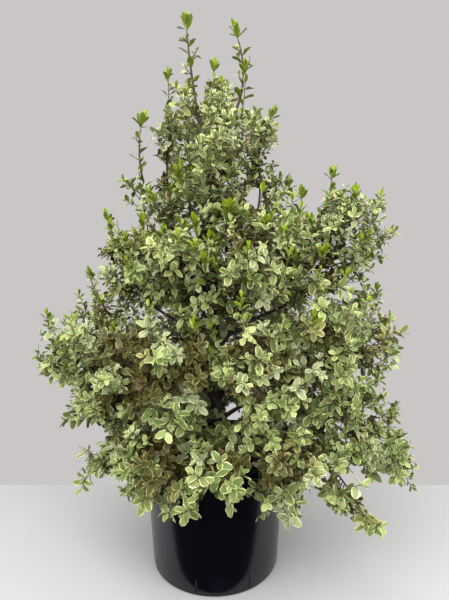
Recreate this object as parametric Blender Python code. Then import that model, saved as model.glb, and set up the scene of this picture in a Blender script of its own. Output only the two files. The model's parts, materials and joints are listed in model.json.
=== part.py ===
"""A potted Elizabeth pittosporum: a young evergreen shrub with small cream-edged leaves in a black pot.

The pot holds potting mix and the trunk stands on the mix. Boughs leave the trunk, and each one ends where
it enters a mass of foliage: twigs that branch by a seeded rule from one stem, with leaves fused on. Each
mass keeps to its own space, so that no two masses touch. Lengths are in metres and +Z is up. The origin is
the middle of the pot's flat underside, and the front of the plant faces -Y.
"""

import math
import random
from dataclasses import dataclass

import bmesh
import bpy
from mathutils import Quaternion, Vector
from mathutils.bvhtree import BVHTree

UP = Vector((0, 0, 1))
GAP = 0.0003

# The pot: a thin wall that narrows towards its foot, a rim band, and drain slots round the foot.
POT_HEIGHT = 0.225
POT_SIDES = 40
RIM_RADIUS = 0.141
RIM_BAND = 0.035
NECK_RADIUS = 0.1335
FOOT_RADIUS = 0.1225
FOOT_BEVEL = 0.004
LIP_BEVEL = 0.0015
WALL = 0.002
FLOOR = 0.003
SLOT_COUNT = 8
SLOT_TURN = -15
SLOT_WIDTH = 0.0035
SLOT_BOTTOM = 0.007
SLOT_TOP = 0.031

# The potting mix: it fills the pot to just under the rim band, with a level patch under the trunk.
MIX_EDGE = 0.184
MIX_LEVEL = 0.196
MIX_PATCH = 0.030

# The trunk: its path from the mix to the tip that carries the left leader, and its radii.
TRUNK_PATH = ((0.004, 0, MIX_LEVEL + GAP), (-0.004, -0.003, 0.44), (0.004, 0.002, 0.68), (-0.034, 0, 0.87))
TRUNK_RINGS = 12
TRUNK_RING_CROWDING = 1.5
TRUNK_SIDES = 10
TRUNK_RADIUS = 0.0115
TRUNK_TIP_RADIUS = 0.0032
FLARE = 0.005
FLARE_HEIGHT = 0.012
LIMB_CREASE = 60
HALVINGS = 30

# Boughs and twigs: radii at the root and the tip of each kind, and the room that leaves keep to limbs.
BOUGH_RADIUS = 0.0048
BOUGH_TIP_RADIUS = 0.0030
BOUGH_RINGS = 5
BOUGH_SIDES = 5
BOUGH_ARCH = 0.12
STEM_RADIUS = 0.0026
STEM_TIP_RADIUS = 0.0012
STEM_RINGS = 5
STEM_BEND = 0.4
LAST_LEAF_SHARE = 0.75
STEM_BARE_SHARE = 0.70
TWIG_RADIUS = 0.0013
TWIG_TIP_RADIUS = 0.0009
TWIG_RINGS = 2
TWIG_SIDES = 3
TWIG_BEND = 0.25
TWIG_BARE_SHARE = 0.45
LIMB_ROOM = 0.0008

# The growth rule: each turn round a stem is the golden angle, as on the real plant.
GOLDEN_ANGLE = math.radians(137.5)
TWIG_STEP = 0.043
TWIG_FEWEST = 4
TWIG_START = 0.10
TWIG_OFFSET = 0.4
TWIG_TURN_SPREAD = 0.5
TWIG_LEAN = (72, 40)
TWIG_RISE = 0.25
TWIG_ROOM = 0.55
TWIG_LONGEST = 0.080
TWIG_SPREAD = 0.12
LEAF_STEP = 0.040
LEAF_LEAN = 58
TIP_LEANS = (60, 54, 32)
TIP_STEP = 0.0035
LEAF_TURN_SPREAD = 0.6
LEAF_TILT = 0.25
LOOK_ALONG = 0.01
SEED = 1204

# A leaf of this model stands for a small spray, so it is larger than a real leaf of 16 to 28 mm.
LEAF_LENGTH = 0.092
LEAF_GIRTH_SHARE = 0.95
LEAF_SPREAD = 0.12
LEAF_WIDTH_SHARE = 0.70
LEAF_WIDEST = 0.52
LEAF_THICKNESS = 0.0022
LEAF_ROOT = 0.18
LEAF_SIZES = (1.0, 0.85, 0.7, 0.55)
LEAF_SWINGS = (0, 35, -35)

# A dense mass has a smaller core that its twigs and leaves stand out of, as a share of its space.
CORE_SIZES = (0.54, 0.46, 0.38, 0.30)

# A space reaches a little past its mass at both ends, and keeps this far from its neighbours' spaces.
SPACE_END_ROOM = 1.16
SPACE_MARGIN = 0.0012


@dataclass(frozen=True)
class Mass:
    """A mass of foliage, and the bough that carries it.

    The turn is in degrees from the front of the plant, positive towards its right side as seen from the
    front. The fork is the height at which the bough leaves the trunk. The entry, where the bough ends and
    the mass begins, and the tip are each a reach from the pot's axis and a height. With no entry there is
    no bough, and the mass's stem meets the trunk. The girth is the radius of its space at the middle.
    """

    name: str
    turn: float
    fork: float
    entry: tuple | None
    tip: tuple
    girth: float
    dense: bool = True


MASSES = (
    Mass("skirt_front_left", -27, 0.235, (0.110, 0.285), (0.225, 0.205), 0.086),
    Mass("skirt_front", 3, 0.262, (0.110, 0.290), (0.235, 0.200), 0.090),
    Mass("skirt_front_right", 37, 0.238, (0.110, 0.285), (0.262, 0.195), 0.090),
    Mass("skirt_right_front", 55, 0.266, (0.140, 0.285), (0.328, 0.148), 0.050),
    Mass("skirt_right", 82, 0.240, (0.130, 0.300), (0.368, 0.182), 0.090),
    Mass("skirt_right_back", 130, 0.268, (0.120, 0.290), (0.325, 0.240), 0.110),
    Mass("skirt_back", 178, 0.232, (0.120, 0.290), (0.300, 0.225), 0.110),
    Mass("skirt_left_back", -132, 0.262, (0.120, 0.290), (0.315, 0.240), 0.110),
    Mass("skirt_left", -94, 0.236, (0.130, 0.300), (0.288, 0.262), 0.076),
    Mass("skirt_left_front", -65, 0.270, (0.140, 0.280), (0.252, 0.225), 0.042),
    Mass("middle_front_left", -22, 0.300, (0.090, 0.390), (0.260, 0.370), 0.110),
    Mass("middle_front_right", 20, 0.330, (0.090, 0.400), (0.265, 0.395), 0.120),
    Mass("middle_right_front", 58, 0.310, (0.100, 0.400), (0.300, 0.410), 0.115),
    Mass("middle_right", 94, 0.345, (0.110, 0.410), (0.362, 0.424), 0.118),
    Mass("middle_right_back", 140, 0.305, (0.100, 0.400), (0.320, 0.420), 0.120),
    Mass("middle_left_back", -158, 0.335, (0.100, 0.400), (0.310, 0.420), 0.120),
    Mass("middle_left", -98, 0.315, (0.110, 0.385), (0.340, 0.376), 0.123),
    Mass("middle_left_front", -58, 0.350, (0.100, 0.400), (0.285, 0.390), 0.105),
    Mass("high_front_left", -24, 0.480, None, (0.190, 0.620), 0.120),
    Mass("high_front_right", 30, 0.450, None, (0.215, 0.650), 0.120),
    Mass("high_right", 84, 0.420, (0.110, 0.490), (0.258, 0.712), 0.112),
    Mass("high_right_back", 125, 0.395, (0.080, 0.500), (0.235, 0.660), 0.115),
    Mass("high_left_back", -150, 0.440, (0.080, 0.500), (0.235, 0.630), 0.115),
    Mass("high_left", -86, 0.405, (0.090, 0.480), (0.188, 0.638), 0.084),
    Mass("crown_left", -84, 0.520, (0.045, 0.600), (0.086, 0.890), 0.064),
    Mass("crown_front", 2, 0.550, None, (0.060, 0.905), 0.120),
    Mass("crown_right", 88, 0.540, (0.040, 0.600), (0.062, 0.885), 0.058),
    Mass("crown_back", 182, 0.600, None, (0.055, 0.930), 0.120),
    Mass("leader_right", 90, 0.720, (0.038, 0.860), (0.045, 1.015), 0.045, False),
    Mass("shoot_left", -95, 0.490, (0.115, 0.690), (0.145, 0.850), 0.032, False),
)
TOP_MASS = Mass("leader_left", -90, TRUNK_PATH[-1][2], (0.034, 0.870), (0.055, 1.033), 0.050, False)


def clear_scene():
    """Remove everything that the scene holds."""
    for item in list(bpy.data.objects):
        bpy.data.objects.remove(item, do_unlink=True)


def finish(name, colour, roughness):
    """Return a plain material with the colour and the roughness of the real surface."""
    material = bpy.data.materials.new(name)
    material.use_nodes = True
    shader = material.node_tree.nodes["Principled BSDF"]
    shader.inputs["Base Color"].default_value = (*colour, 1)
    shader.inputs["Roughness"].default_value = roughness
    shader.inputs["Metallic"].default_value = 0
    return material


def place(turn, reach, height):
    """Return the point at a turn from the front, a reach from the pot's axis and a height."""
    angle = math.radians(turn)
    return Vector((reach * math.sin(angle), -reach * math.cos(angle), height))


def curve(controls, share):
    """Return the point at a share of the way along the Bezier curve with these control points."""
    points = [Vector(control) for control in controls]
    while len(points) > 1:
        points = [first.lerp(second, share) for first, second in zip(points, points[1:])]
    return points[0]


def course(controls, count):
    """Return evenly shared points along a Bezier curve."""
    return [curve(controls, step / (count - 1)) for step in range(count)]


def taper(root, tip, count):
    """Return radii that fall evenly from the root to the tip."""
    return [root + (tip - root) * step / (count - 1) for step in range(count)]


def across(direction):
    """Return a unit vector square to the direction."""
    helper = UP if abs(direction.normalized().z) < 0.9 else Vector((1, 0, 0))
    return direction.cross(helper).normalized()


def tube(points, radii, sides):
    """Return the vertices and faces of a closed tapering tube whose rings turn as little as they can."""
    vertices = []
    side = across(points[1] - points[0])
    for index, (point, radius) in enumerate(zip(points, radii)):
        before = points[max(index - 1, 0)]
        after = points[min(index + 1, len(points) - 1)]
        along = (after - before).normalized()
        side = (side - along * side.dot(along)).normalized()
        for step in range(sides):
            spin = Quaternion(along, 2 * math.pi * step / sides)
            vertices.append(point + radius * (spin @ side))
    faces = []
    for ring in range(len(points) - 1):
        for step in range(sides):
            here = ring * sides + step
            beside = ring * sides + (step + 1) % sides
            faces.append((here, beside, beside + sides, here + sides))
    faces.append(tuple(reversed(range(sides))))
    faces.append(tuple(range(len(vertices) - sides, len(vertices))))
    return vertices, faces


def blade(base, along, facing, length):
    """Return the vertices and faces of an eight-faced leaf that is widest a little past its middle."""
    facing = (facing - along * facing.dot(along)).normalized()
    side = along.cross(facing)
    middle = base + along * length * LEAF_WIDEST
    half_width = length * LEAF_WIDTH_SHARE / 2
    half_thickness = LEAF_THICKNESS / 2
    tip = base + along * length
    rim = (base, middle + side * half_width, tip, middle - side * half_width)
    vertices = [*rim, middle + facing * half_thickness, middle - facing * half_thickness]
    faces = []
    for step in range(4):
        beside = (step + 1) % 4
        faces.append((step, beside, 4))
        faces.append((beside, step, 5))
    return vertices, faces


def make_object(name, shape, material, collection=None):
    """Make an object from vertices and faces, linked to the scene unless another collection is given."""
    vertices, faces = shape
    mesh = bpy.data.meshes.new(name)
    mesh.from_pydata(vertices, [], faces)
    made = bpy.data.objects.new(name, mesh)
    if material:
        mesh.materials.append(material)
    (collection or bpy.context.scene.collection).objects.link(made)
    return made


def lathe(name, profile, material):
    """Make a solid by spinning a profile, which starts and ends on the Z axis, round that axis."""
    body = bmesh.new()
    points = [body.verts.new((radius, 0, height)) for radius, height in profile]
    edges = [body.edges.new(pair) for pair in zip(points, points[1:])]
    bmesh.ops.spin(
        body, geom=points + edges, axis=UP, cent=(0, 0, 0), angle=2 * math.pi, steps=POT_SIDES, use_merge=True
    )
    bmesh.ops.remove_doubles(body, verts=body.verts, dist=1e-6)
    bmesh.ops.recalc_face_normals(body, faces=body.faces)
    made = make_object(name, ([], []), material)
    body.to_mesh(made.data)
    body.free()
    return made


def shade_round(item, degrees=40):
    """Shade an object smooth, with its sharper edges kept."""
    item.data.shade_smooth()
    item.data.set_sharp_from_angle(angle=math.radians(degrees))


def apply_boolean(item, operation, solver, other):
    """Apply one Boolean of an object or a whole collection to an item, and remove what it used."""
    boolean = item.modifiers.new("boolean", "BOOLEAN")
    boolean.operation = operation
    boolean.solver = solver
    if isinstance(other, bpy.types.Collection):
        boolean.operand_type = "COLLECTION"
        boolean.collection = other
        used = list(other.objects)
    else:
        boolean.object = other
        used = [other]
    graph = bpy.context.evaluated_depsgraph_get()
    result = bpy.data.meshes.new_from_object(item.evaluated_get(graph))
    item.modifiers.remove(boolean)
    old = item.data
    item.data = result
    result.name = item.name
    bpy.data.meshes.remove(old)
    for piece in used:
        bpy.data.meshes.remove(piece.data)
    if isinstance(other, bpy.types.Collection):
        bpy.data.collections.remove(other)


def keep_main_body(item):
    """Drop loose scraps and fill sealed hollows: keep only the faces of the largest closed body."""
    body = bmesh.new()
    body.from_mesh(item.data)
    unseen = set(body.verts)
    islands = []
    while unseen:
        island = [unseen.pop()]
        for vertex in island:
            for edge in vertex.link_edges:
                neighbour = edge.other_vert(vertex)
                if neighbour in unseen:
                    unseen.remove(neighbour)
                    island.append(neighbour)
        islands.append(island)
    islands.sort(key=len)
    for island in islands[:-1]:
        bmesh.ops.delete(body, geom=island, context="VERTS")
    body.to_mesh(item.data)
    body.free()


def inner_radius(height):
    """Return the radius of the pot's inside wall at a height below the rim band."""
    share = (height - FOOT_BEVEL) / (POT_HEIGHT - RIM_BAND - FOOT_BEVEL)
    return FOOT_RADIUS + (NECK_RADIUS - FOOT_RADIUS) * share - WALL


def make_pot(material):
    """Make the pot, with its drain slots cut through the wall just above the floor."""
    band_foot = POT_HEIGHT - RIM_BAND
    profile = (
        (0, 0),
        (FOOT_RADIUS - FOOT_BEVEL, 0),
        (FOOT_RADIUS, FOOT_BEVEL),
        (NECK_RADIUS, band_foot),
        (RIM_RADIUS - LIP_BEVEL, band_foot + LIP_BEVEL),
        (RIM_RADIUS, POT_HEIGHT - LIP_BEVEL),
        (RIM_RADIUS - LIP_BEVEL, POT_HEIGHT),
        (RIM_RADIUS - LIP_BEVEL - WALL, POT_HEIGHT),
        (RIM_RADIUS - 2 * LIP_BEVEL - WALL, band_foot + LIP_BEVEL + WALL),
        (inner_radius(band_foot), band_foot + WALL),
        (inner_radius(FLOOR), FLOOR),
        (0, FLOOR),
    )
    pot = lathe("pot", profile, material)
    shade_round(pot)
    cut_slots(pot)


def cut_slots(pot):
    """Cut the narrow upright drain slots, evenly round the foot, with one Boolean."""
    vertices = []
    faces = []
    for index in range(SLOT_COUNT):
        turn = SLOT_TURN + index * 360 / SLOT_COUNT
        outward = place(turn, 1, 0)
        side = UP.cross(outward)
        near = FOOT_RADIUS - 4 * WALL
        far = FOOT_RADIUS + 4 * WALL
        first = len(vertices)
        for height in (SLOT_BOTTOM, SLOT_TOP):
            for reach, shift in ((near, -1), (far, -1), (far, 1), (near, 1)):
                vertices.append(outward * reach + side * shift * SLOT_WIDTH / 2 + UP * height)
        faces.append([first + corner for corner in (3, 2, 1, 0)])
        faces.append([first + corner for corner in (4, 5, 6, 7)])
        for corner in range(4):
            beside = (corner + 1) % 4
            faces.append([first + corner, first + beside, first + beside + 4, first + corner + 4])
    cutter = make_object("slot_cutter", (vertices, faces), None)
    cutter.hide_render = True
    cutter.display_type = "WIRE"
    slots = pot.modifiers.new("slots", "BOOLEAN")
    slots.operation = "DIFFERENCE"
    slots.object = cutter


def make_mix(material):
    """Make the potting mix: it fills the pot with a small gap to the wall and rises to the trunk's foot."""
    profile = (
        (0, FLOOR + GAP),
        (inner_radius(FLOOR) - GAP, FLOOR + GAP),
        (inner_radius(MIX_EDGE) - GAP, MIX_EDGE),
        (MIX_PATCH, MIX_LEVEL),
        (0, MIX_LEVEL),
    )
    shade_round(lathe("potting_mix", profile, material))


def trunk_radius(height):
    """Return the trunk's radius at a height: a taper with a root flare at its foot."""
    foot = TRUNK_PATH[0][2]
    share = (height - foot) / (TRUNK_PATH[-1][2] - foot)
    flare = FLARE * math.exp(-(height - foot) / FLARE_HEIGHT)
    return TRUNK_RADIUS + (TRUNK_TIP_RADIUS - TRUNK_RADIUS) * share + flare


def trunk_point(height):
    """Return the middle of the trunk at a height, found by halving the curve's share."""
    low, high = 0.0, 1.0
    for _ in range(HALVINGS):
        share = (low + high) / 2
        if curve(TRUNK_PATH, share).z < height:
            low = share
        else:
            high = share
    return curve(TRUNK_PATH, (low + high) / 2)


def trunk_shape(extra=0.0):
    """Return the trunk's vertices and faces, with extra metres on its radius."""
    points = []
    for step in range(TRUNK_RINGS):
        share = (step / (TRUNK_RINGS - 1)) ** TRUNK_RING_CROWDING
        points.append(curve(TRUNK_PATH, share))
    radii = [trunk_radius(point.z) + extra for point in points]
    vertices, faces = tube(points, radii, TRUNK_SIDES)
    for index in range(TRUNK_SIDES):
        vertices[index].z = points[0].z
    return vertices, faces


def mass_foot(mass):
    """Return the place where a mass begins: its bough's end, or the middle of the trunk at its fork."""
    return place(mass.turn, *mass.entry) if mass.entry else trunk_point(mass.fork)


def bough_course(mass):
    """Return the points of a mass's bough, from inside the trunk to the place where the mass begins."""
    start = trunk_point(mass.fork)
    end = mass_foot(mass)
    bend = start.lerp(end, 0.5) + UP * BOUGH_ARCH * (end - start).length
    return course((start, bend, end), BOUGH_RINGS)


def bough_shape(mass, extra=0.0):
    """Return the vertices and faces of a bough, with extra metres on its radius."""
    radii = taper(BOUGH_RADIUS + extra, BOUGH_TIP_RADIUS + extra, BOUGH_RINGS)
    return tube(bough_course(mass), radii, BOUGH_SIDES)


def boughed():
    """Return the masses that a bough carries."""
    return [mass for mass in MASSES if mass.entry]


def cut_back(limb):
    """Cut a limb that starts inside the trunk back to a small gap from it."""
    apply_boolean(limb, "DIFFERENCE", "EXACT", make_object("cutter", trunk_shape(GAP), None))
    keep_main_body(limb)


def make_limbs(material):
    """Make the trunk and the boughs."""
    shade_round(make_object("trunk", trunk_shape(), material), LIMB_CREASE)
    for mass in boughed():
        bough = make_object("bough_" + mass.name, bough_shape(mass), material)
        cut_back(bough)
        shade_round(bough, LIMB_CREASE)


def stem_start(mass):
    """Return the point where a mass's stem starts, and the direction that it starts in.

    It starts clear of its bough's tip, or inside the trunk, where it is then cut clear.
    """
    if not mass.entry:
        return mass_foot(mass), place(mass.turn, 1, 1).normalized()
    limb = course(TRUNK_PATH, TRUNK_RINGS) if mass is TOP_MASS else bough_course(mass)
    arrival = (limb[-1] - limb[-2]).normalized()
    return limb[-1] + arrival * GAP, arrival


def leaf_length(mass):
    """Return the leaf length of a mass: narrow masses have smaller leaves."""
    return min(LEAF_LENGTH, mass.girth * LEAF_GIRTH_SHARE)


def stem_controls(mass):
    """Return the control points of a mass's stem, which ends where its last leaf can reach the tip."""
    start, arrival = stem_start(mass)
    end = place(mass.turn, *mass.tip)
    tail = end - (end - start).normalized() * leaf_length(mass) * LAST_LEAF_SHARE
    return start, start + arrival * (end - start).length * STEM_BEND, tail


class Space:
    """The room of one mass: a long round body, cut by a plane towards each neighbour that it would meet."""

    def __init__(self, mass):
        stem = stem_controls(mass)
        start = stem[0]
        end = place(mass.turn, *mass.tip)
        self.middle = start.lerp(end, 0.5) + (curve(stem, 0.5) - stem[0].lerp(stem[-1], 0.5))
        self.axis = (end - start).normalized()
        self.half_length = (end - start).length / 2 * SPACE_END_ROOM
        self.girth = mass.girth
        self.planes = []

    def extent(self, direction):
        """Return how far the uncut body reaches from its middle in a direction."""
        along = direction.dot(self.axis)
        return math.sqrt((self.half_length * along) ** 2 + self.girth**2 * (1 - along**2))

    def part_from(self, other):
        """Add the plane that keeps this space clear of another one."""
        between = other.middle - self.middle
        distance = between.length
        direction = between / distance
        own = self.extent(direction)
        others = other.extent(direction)
        if own + others > distance:
            limit = distance * own / (own + others) - SPACE_MARGIN
            self.planes.append((self.middle + direction * limit, direction))

    def squash(self, vector):
        """Return a vector in the shape where the body is a ball of radius one."""
        along = vector.dot(self.axis)
        return self.axis * along / self.half_length + (vector - self.axis * along) / self.girth

    def core(self, share):
        """Return the vertices and faces of a many-sided core, a share of the space's size."""
        body = bmesh.new()
        bmesh.ops.create_icosphere(body, subdivisions=1, radius=share)
        turn = UP.rotation_difference(self.axis)
        vertices = []
        for vertex in body.verts:
            shaped = vertex.co * Vector((self.girth, self.girth, self.half_length))
            vertices.append(self.middle + turn @ shaped)
        faces = [[vertex.index for vertex in face.verts] for face in body.faces]
        body.free()
        return vertices, faces

    def holds(self, point):
        """Tell whether a point lies in the space."""
        if self.squash(point - self.middle).length > 1:
            return False
        return all((point - foot).dot(direction) < 0 for foot, direction in self.planes)

    def room(self, point, direction):
        """Return how far one can go from a point of the space in a direction before leaving it."""
        start = self.squash(point - self.middle)
        step = self.squash(direction)
        half = start.dot(step)
        square = step.length_squared
        reach = (-half + math.sqrt(max(half**2 - square * (start.length_squared - 1), 0))) / square
        for foot, normal in self.planes:
            approach = direction.dot(normal)
            if approach > 1e-6:
                reach = min(reach, (foot - point).dot(normal) / approach)
        return max(reach, 0)


def make_spaces(masses):
    """Return the space of each mass, parted from all the others."""
    spaces = [Space(mass) for mass in masses]
    for space in spaces:
        for other in spaces:
            if other is not space:
                space.part_from(other)
    return spaces


def keep_out():
    """Return a search tree of the trunk, the boughs and the pot, all a little fatter than they are."""
    shapes = [trunk_shape(LIMB_ROOM)]
    shapes += [bough_shape(mass, LIMB_ROOM) for mass in boughed()]
    rim = RIM_RADIUS + LIMB_ROOM
    shapes.append(tube([Vector(), UP * (POT_HEIGHT + LIMB_ROOM)], [rim, rim], POT_SIDES))
    vertices = []
    faces = []
    for shape in shapes:
        first = len(vertices)
        vertices += shape[0]
        faces += [[first + corner for corner in face] for face in shape[1]]
    return BVHTree.FromPolygons(vertices, faces)


def over_pot(point):
    """Tell whether a point is clear of the pot and the room inside it."""
    return point.z > POT_HEIGHT + LIMB_ROOM or point.xy.length > RIM_RADIUS + LIMB_ROOM


class Growth:
    """The pieces of one mass, grown from its stem by the seeded rule."""

    def __init__(self, mass, space, limbs, seed):
        self.space = space
        self.limbs = limbs
        self.random = random.Random(seed)
        self.pieces = []
        self.trees = []
        self.leaf_length = leaf_length(mass)
        self.stem = stem_controls(mass)
        span = (place(mass.turn, *mass.tip) - self.stem[0]).length
        self.stem_shape = tube(
            course(self.stem, STEM_RINGS), taper(STEM_RADIUS, STEM_TIP_RADIUS, STEM_RINGS), TWIG_SIDES
        )
        if mass.dense:
            self.add_core()
        self.grow_twigs(span)
        self.add_leaves(self.stem, STEM_BARE_SHARE)

    def spread(self, amount):
        """Return a number near one, at most the amount away from it."""
        return 1 + amount * (2 * self.random.random() - 1)

    def fits(self, shape):
        """Tell whether a shape stays in the space and off the limbs and the pot."""
        vertices, faces = shape
        if not all(self.space.holds(point) and over_pot(point) for point in vertices):
            return False
        return not self.limbs.overlap(BVHTree.FromPolygons(vertices, faces))

    def add_core(self):
        """Add the largest core that stays in the space and off the limbs."""
        for share in CORE_SIZES:
            shape = self.space.core(share)
            if self.fits(shape):
                self.pieces.append(shape)
                break

    def crosses(self, shape):
        """Tell whether a shape would cross a piece that has already grown."""
        tree = BVHTree.FromPolygons(*shape)
        return any(tree.overlap(other) for other in self.trees)

    def add(self, shape):
        """Add a piece to the mass."""
        self.pieces.append(shape)
        self.trees.append(BVHTree.FromPolygons(*shape))

    def grow_twigs(self, span):
        """Grow side twigs round the stem, each with its leaves."""
        count = max(round(span * (1 - TWIG_START) / TWIG_STEP), TWIG_FEWEST)
        for index in range(count):
            share = TWIG_START + (1 - TWIG_START) * (index + TWIG_OFFSET) / count
            foot = curve(self.stem, share)
            along = (curve(self.stem, share + LOOK_ALONG) - foot).normalized()
            turn = GOLDEN_ANGLE * index + TWIG_TURN_SPREAD * self.random.random()
            lean = math.radians(TWIG_LEAN[0] + (TWIG_LEAN[1] - TWIG_LEAN[0]) * share)
            length_share = TWIG_ROOM * self.spread(TWIG_SPREAD)
            side = Quaternion(along, turn) @ across(along)
            heading = (along * math.cos(lean) + side * math.sin(lean) + UP * TWIG_RISE).normalized()
            length = min(self.space.room(foot, heading) * length_share, TWIG_LONGEST)
            twig = (foot, foot + (heading + side) * length * TWIG_BEND, foot + heading * length)
            radii = taper(TWIG_RADIUS, TWIG_TIP_RADIUS, TWIG_RINGS)
            shape = tube(course(twig, TWIG_RINGS), radii, TWIG_SIDES)
            grown = self.fits(shape)
            if grown:
                self.add(shape)
            self.add_leaves(twig, TWIG_BARE_SHARE, grown)

    def add_leaves(self, twig, bare_share, grown=True):
        """Set leaves along a twig, turn by turn, and a rosette of leaves at its end."""
        length = (twig[-1] - twig[0]).length
        leafy = length * (1 - bare_share)
        below = round(leafy / LEAF_STEP)
        leans = (LEAF_LEAN,) * below + TIP_LEANS
        for index, lean in enumerate(leans):
            behind = TIP_STEP * (len(leans) - index)
            if index < below:
                behind += (below - index) * leafy / (below + 0.5)
            turn = GOLDEN_ANGLE * index + LEAF_TURN_SPREAD * self.random.random()
            size = self.leaf_length * self.spread(LEAF_SPREAD)
            tilt = Vector([self.random.gauss(0, LEAF_TILT) for _ in range(3)])
            if grown:
                self.add_leaf(twig, 1 - behind / length, math.radians(lean), turn, size, tilt)

    def add_leaf(self, twig, share, lean, turn, size, tilt):
        """Set one leaf on a twig, swung or made smaller until it fits, or leave it out."""
        foot = curve(twig, share)
        along = (foot - curve(twig, share - LOOK_ALONG)).normalized()
        facing = along + tilt
        for share_of_size in LEAF_SIZES:
            length = size * share_of_size
            for swing in LEAF_SWINGS:
                side = Quaternion(along, turn + math.radians(swing)) @ across(along)
                heading = along * math.cos(lean) + side * math.sin(lean)
                shape = blade(foot, heading, facing, length)
                past_root = blade(foot + heading * length * LEAF_ROOT, heading, facing, length)
                if self.fits(shape) and not self.crosses(past_root):
                    self.add(shape)
                    return


def make_foliage(material):
    """Grow every mass and fuse it into one solid."""
    masses = (*MASSES, TOP_MASS)
    spaces = make_spaces(masses)
    limbs = keep_out()
    for index, mass in enumerate(masses):
        growth = Growth(mass, spaces[index], limbs, SEED + index)
        foliage = make_object("foliage_" + mass.name, growth.stem_shape, material)
        if not mass.entry:
            cut_back(foliage)
        pieces = bpy.data.collections.new("pieces")
        bpy.context.scene.collection.children.link(pieces)
        for shape in growth.pieces:
            make_object("piece", shape, None, pieces)
        apply_boolean(foliage, "UNION", "MANIFOLD", pieces)
        keep_main_body(foliage)


def main():
    """Build the whole plant."""
    clear_scene()
    make_pot(finish("black_plastic", (0.006, 0.006, 0.008), 0.28))
    make_mix(finish("bark_mix", (0.035, 0.022, 0.014), 0.95))
    make_limbs(finish("dark_bark", (0.045, 0.032, 0.026), 0.8))
    make_foliage(finish("cream_edged_leaf", (0.26, 0.29, 0.12), 0.45))


if __name__ == "__main__":
    main()
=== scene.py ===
"""The looks of a potted Elizabeth pittosporum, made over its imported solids.

The trunk and the boughs get their bark's relief. Each mass of foliage is grown again by the rule of
the solids, with the same seeds, and carried on to side shoots, rosettes and single cream-edged leaves.
Lengths are in metres, +Z is up, and the front of the plant faces -Y.
"""

import json
import logging
import math
import random
from collections.abc import Iterable, Sequence
from dataclasses import dataclass, field
from enum import Enum
from typing import Any

import bmesh
import bpy
import numpy as np
from bpy.types import ID, Collection, Material, Mesh, Node, NodeTree, Object
from bpy.types import NodeSocket as Socket
from mathutils import Matrix, Quaternion, Vector, noise
from mathutils.bvhtree import BVHTree

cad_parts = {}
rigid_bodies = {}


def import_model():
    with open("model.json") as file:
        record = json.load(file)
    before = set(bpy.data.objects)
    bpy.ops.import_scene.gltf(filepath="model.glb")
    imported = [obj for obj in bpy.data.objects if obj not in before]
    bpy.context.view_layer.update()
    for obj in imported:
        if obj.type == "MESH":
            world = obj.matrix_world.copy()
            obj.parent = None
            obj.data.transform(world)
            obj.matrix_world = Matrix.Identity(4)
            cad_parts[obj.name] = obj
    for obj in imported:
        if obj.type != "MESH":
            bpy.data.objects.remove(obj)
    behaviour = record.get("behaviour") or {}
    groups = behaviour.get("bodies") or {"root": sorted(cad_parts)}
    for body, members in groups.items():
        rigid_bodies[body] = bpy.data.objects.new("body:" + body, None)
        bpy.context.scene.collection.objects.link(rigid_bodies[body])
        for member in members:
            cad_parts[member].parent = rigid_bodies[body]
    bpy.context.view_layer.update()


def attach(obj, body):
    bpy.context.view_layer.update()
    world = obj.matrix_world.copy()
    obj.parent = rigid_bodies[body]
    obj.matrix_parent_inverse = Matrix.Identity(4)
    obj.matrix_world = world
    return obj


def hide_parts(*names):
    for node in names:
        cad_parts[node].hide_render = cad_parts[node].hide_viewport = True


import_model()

LOG = logging.getLogger("pittosporum")
UP = Vector((0, 0, 1))
BODY = "root"

Colour = tuple[float, ...]
Pair = tuple[float, float]
Spot = tuple[float, float, float]
Controls = Sequence[Vector]
Shape = tuple[list[Vector], list[Sequence[int]]]

# The share of a curve over which its direction is read.
LOOK_ALONG = 0.01


# Geometry that the solids' source works with too.


def place(turn: float, reach: float, height: float) -> Vector:
    """Return the point at a turn in degrees from the front, a reach from the pot's axis and a height."""
    angle = math.radians(turn)
    return Vector((reach * math.sin(angle), -reach * math.cos(angle), height))


def between(ends: Pair, share: float) -> float:
    """Return the number at a share of the way between two."""
    return ends[0] + (ends[1] - ends[0]) * share


def curve(controls: Controls, share: float) -> Vector:
    """Return the point at a share of the way along the Bezier curve with these control points."""
    points = [first.lerp(second, share) for first, second in zip(controls, controls[1:])]
    return curve(points, share) if len(points) > 1 else points[0]


def along_curve(controls: Controls, share: float) -> tuple[Vector, Vector]:
    """Return the point at a share of the way along a curve, and the curve's direction there."""
    foot = curve(controls, share)
    return foot, (curve(controls, share + LOOK_ALONG) - foot).normalized()


def course(controls: Controls, count: int) -> list[Vector]:
    """Return evenly shared points along a curve."""
    return [curve(controls, step / (count - 1)) for step in range(count)]


def taper(root: float, tip: float, count: int) -> list[float]:
    """Return radii that fall evenly from the root to the tip."""
    return [root + (tip - root) * step / (count - 1) for step in range(count)]


def across(direction: Vector) -> Vector:
    """Return a unit vector square to the direction."""
    helper = UP if abs(direction.normalized().z) < 0.9 else Vector((1, 0, 0))
    return direction.cross(helper).normalized()


def beside(along: Vector, turn: float) -> Vector:
    """Return the direction square to an axis at a turn round it in radians."""
    return Quaternion(along, turn) @ across(along)


def lean_out(along: Vector, side: Vector, degrees: float) -> Vector:
    """Return the direction that leans from an axis towards a side by an angle."""
    lean = math.radians(degrees)
    return along * math.cos(lean) + side * math.sin(lean)


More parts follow.
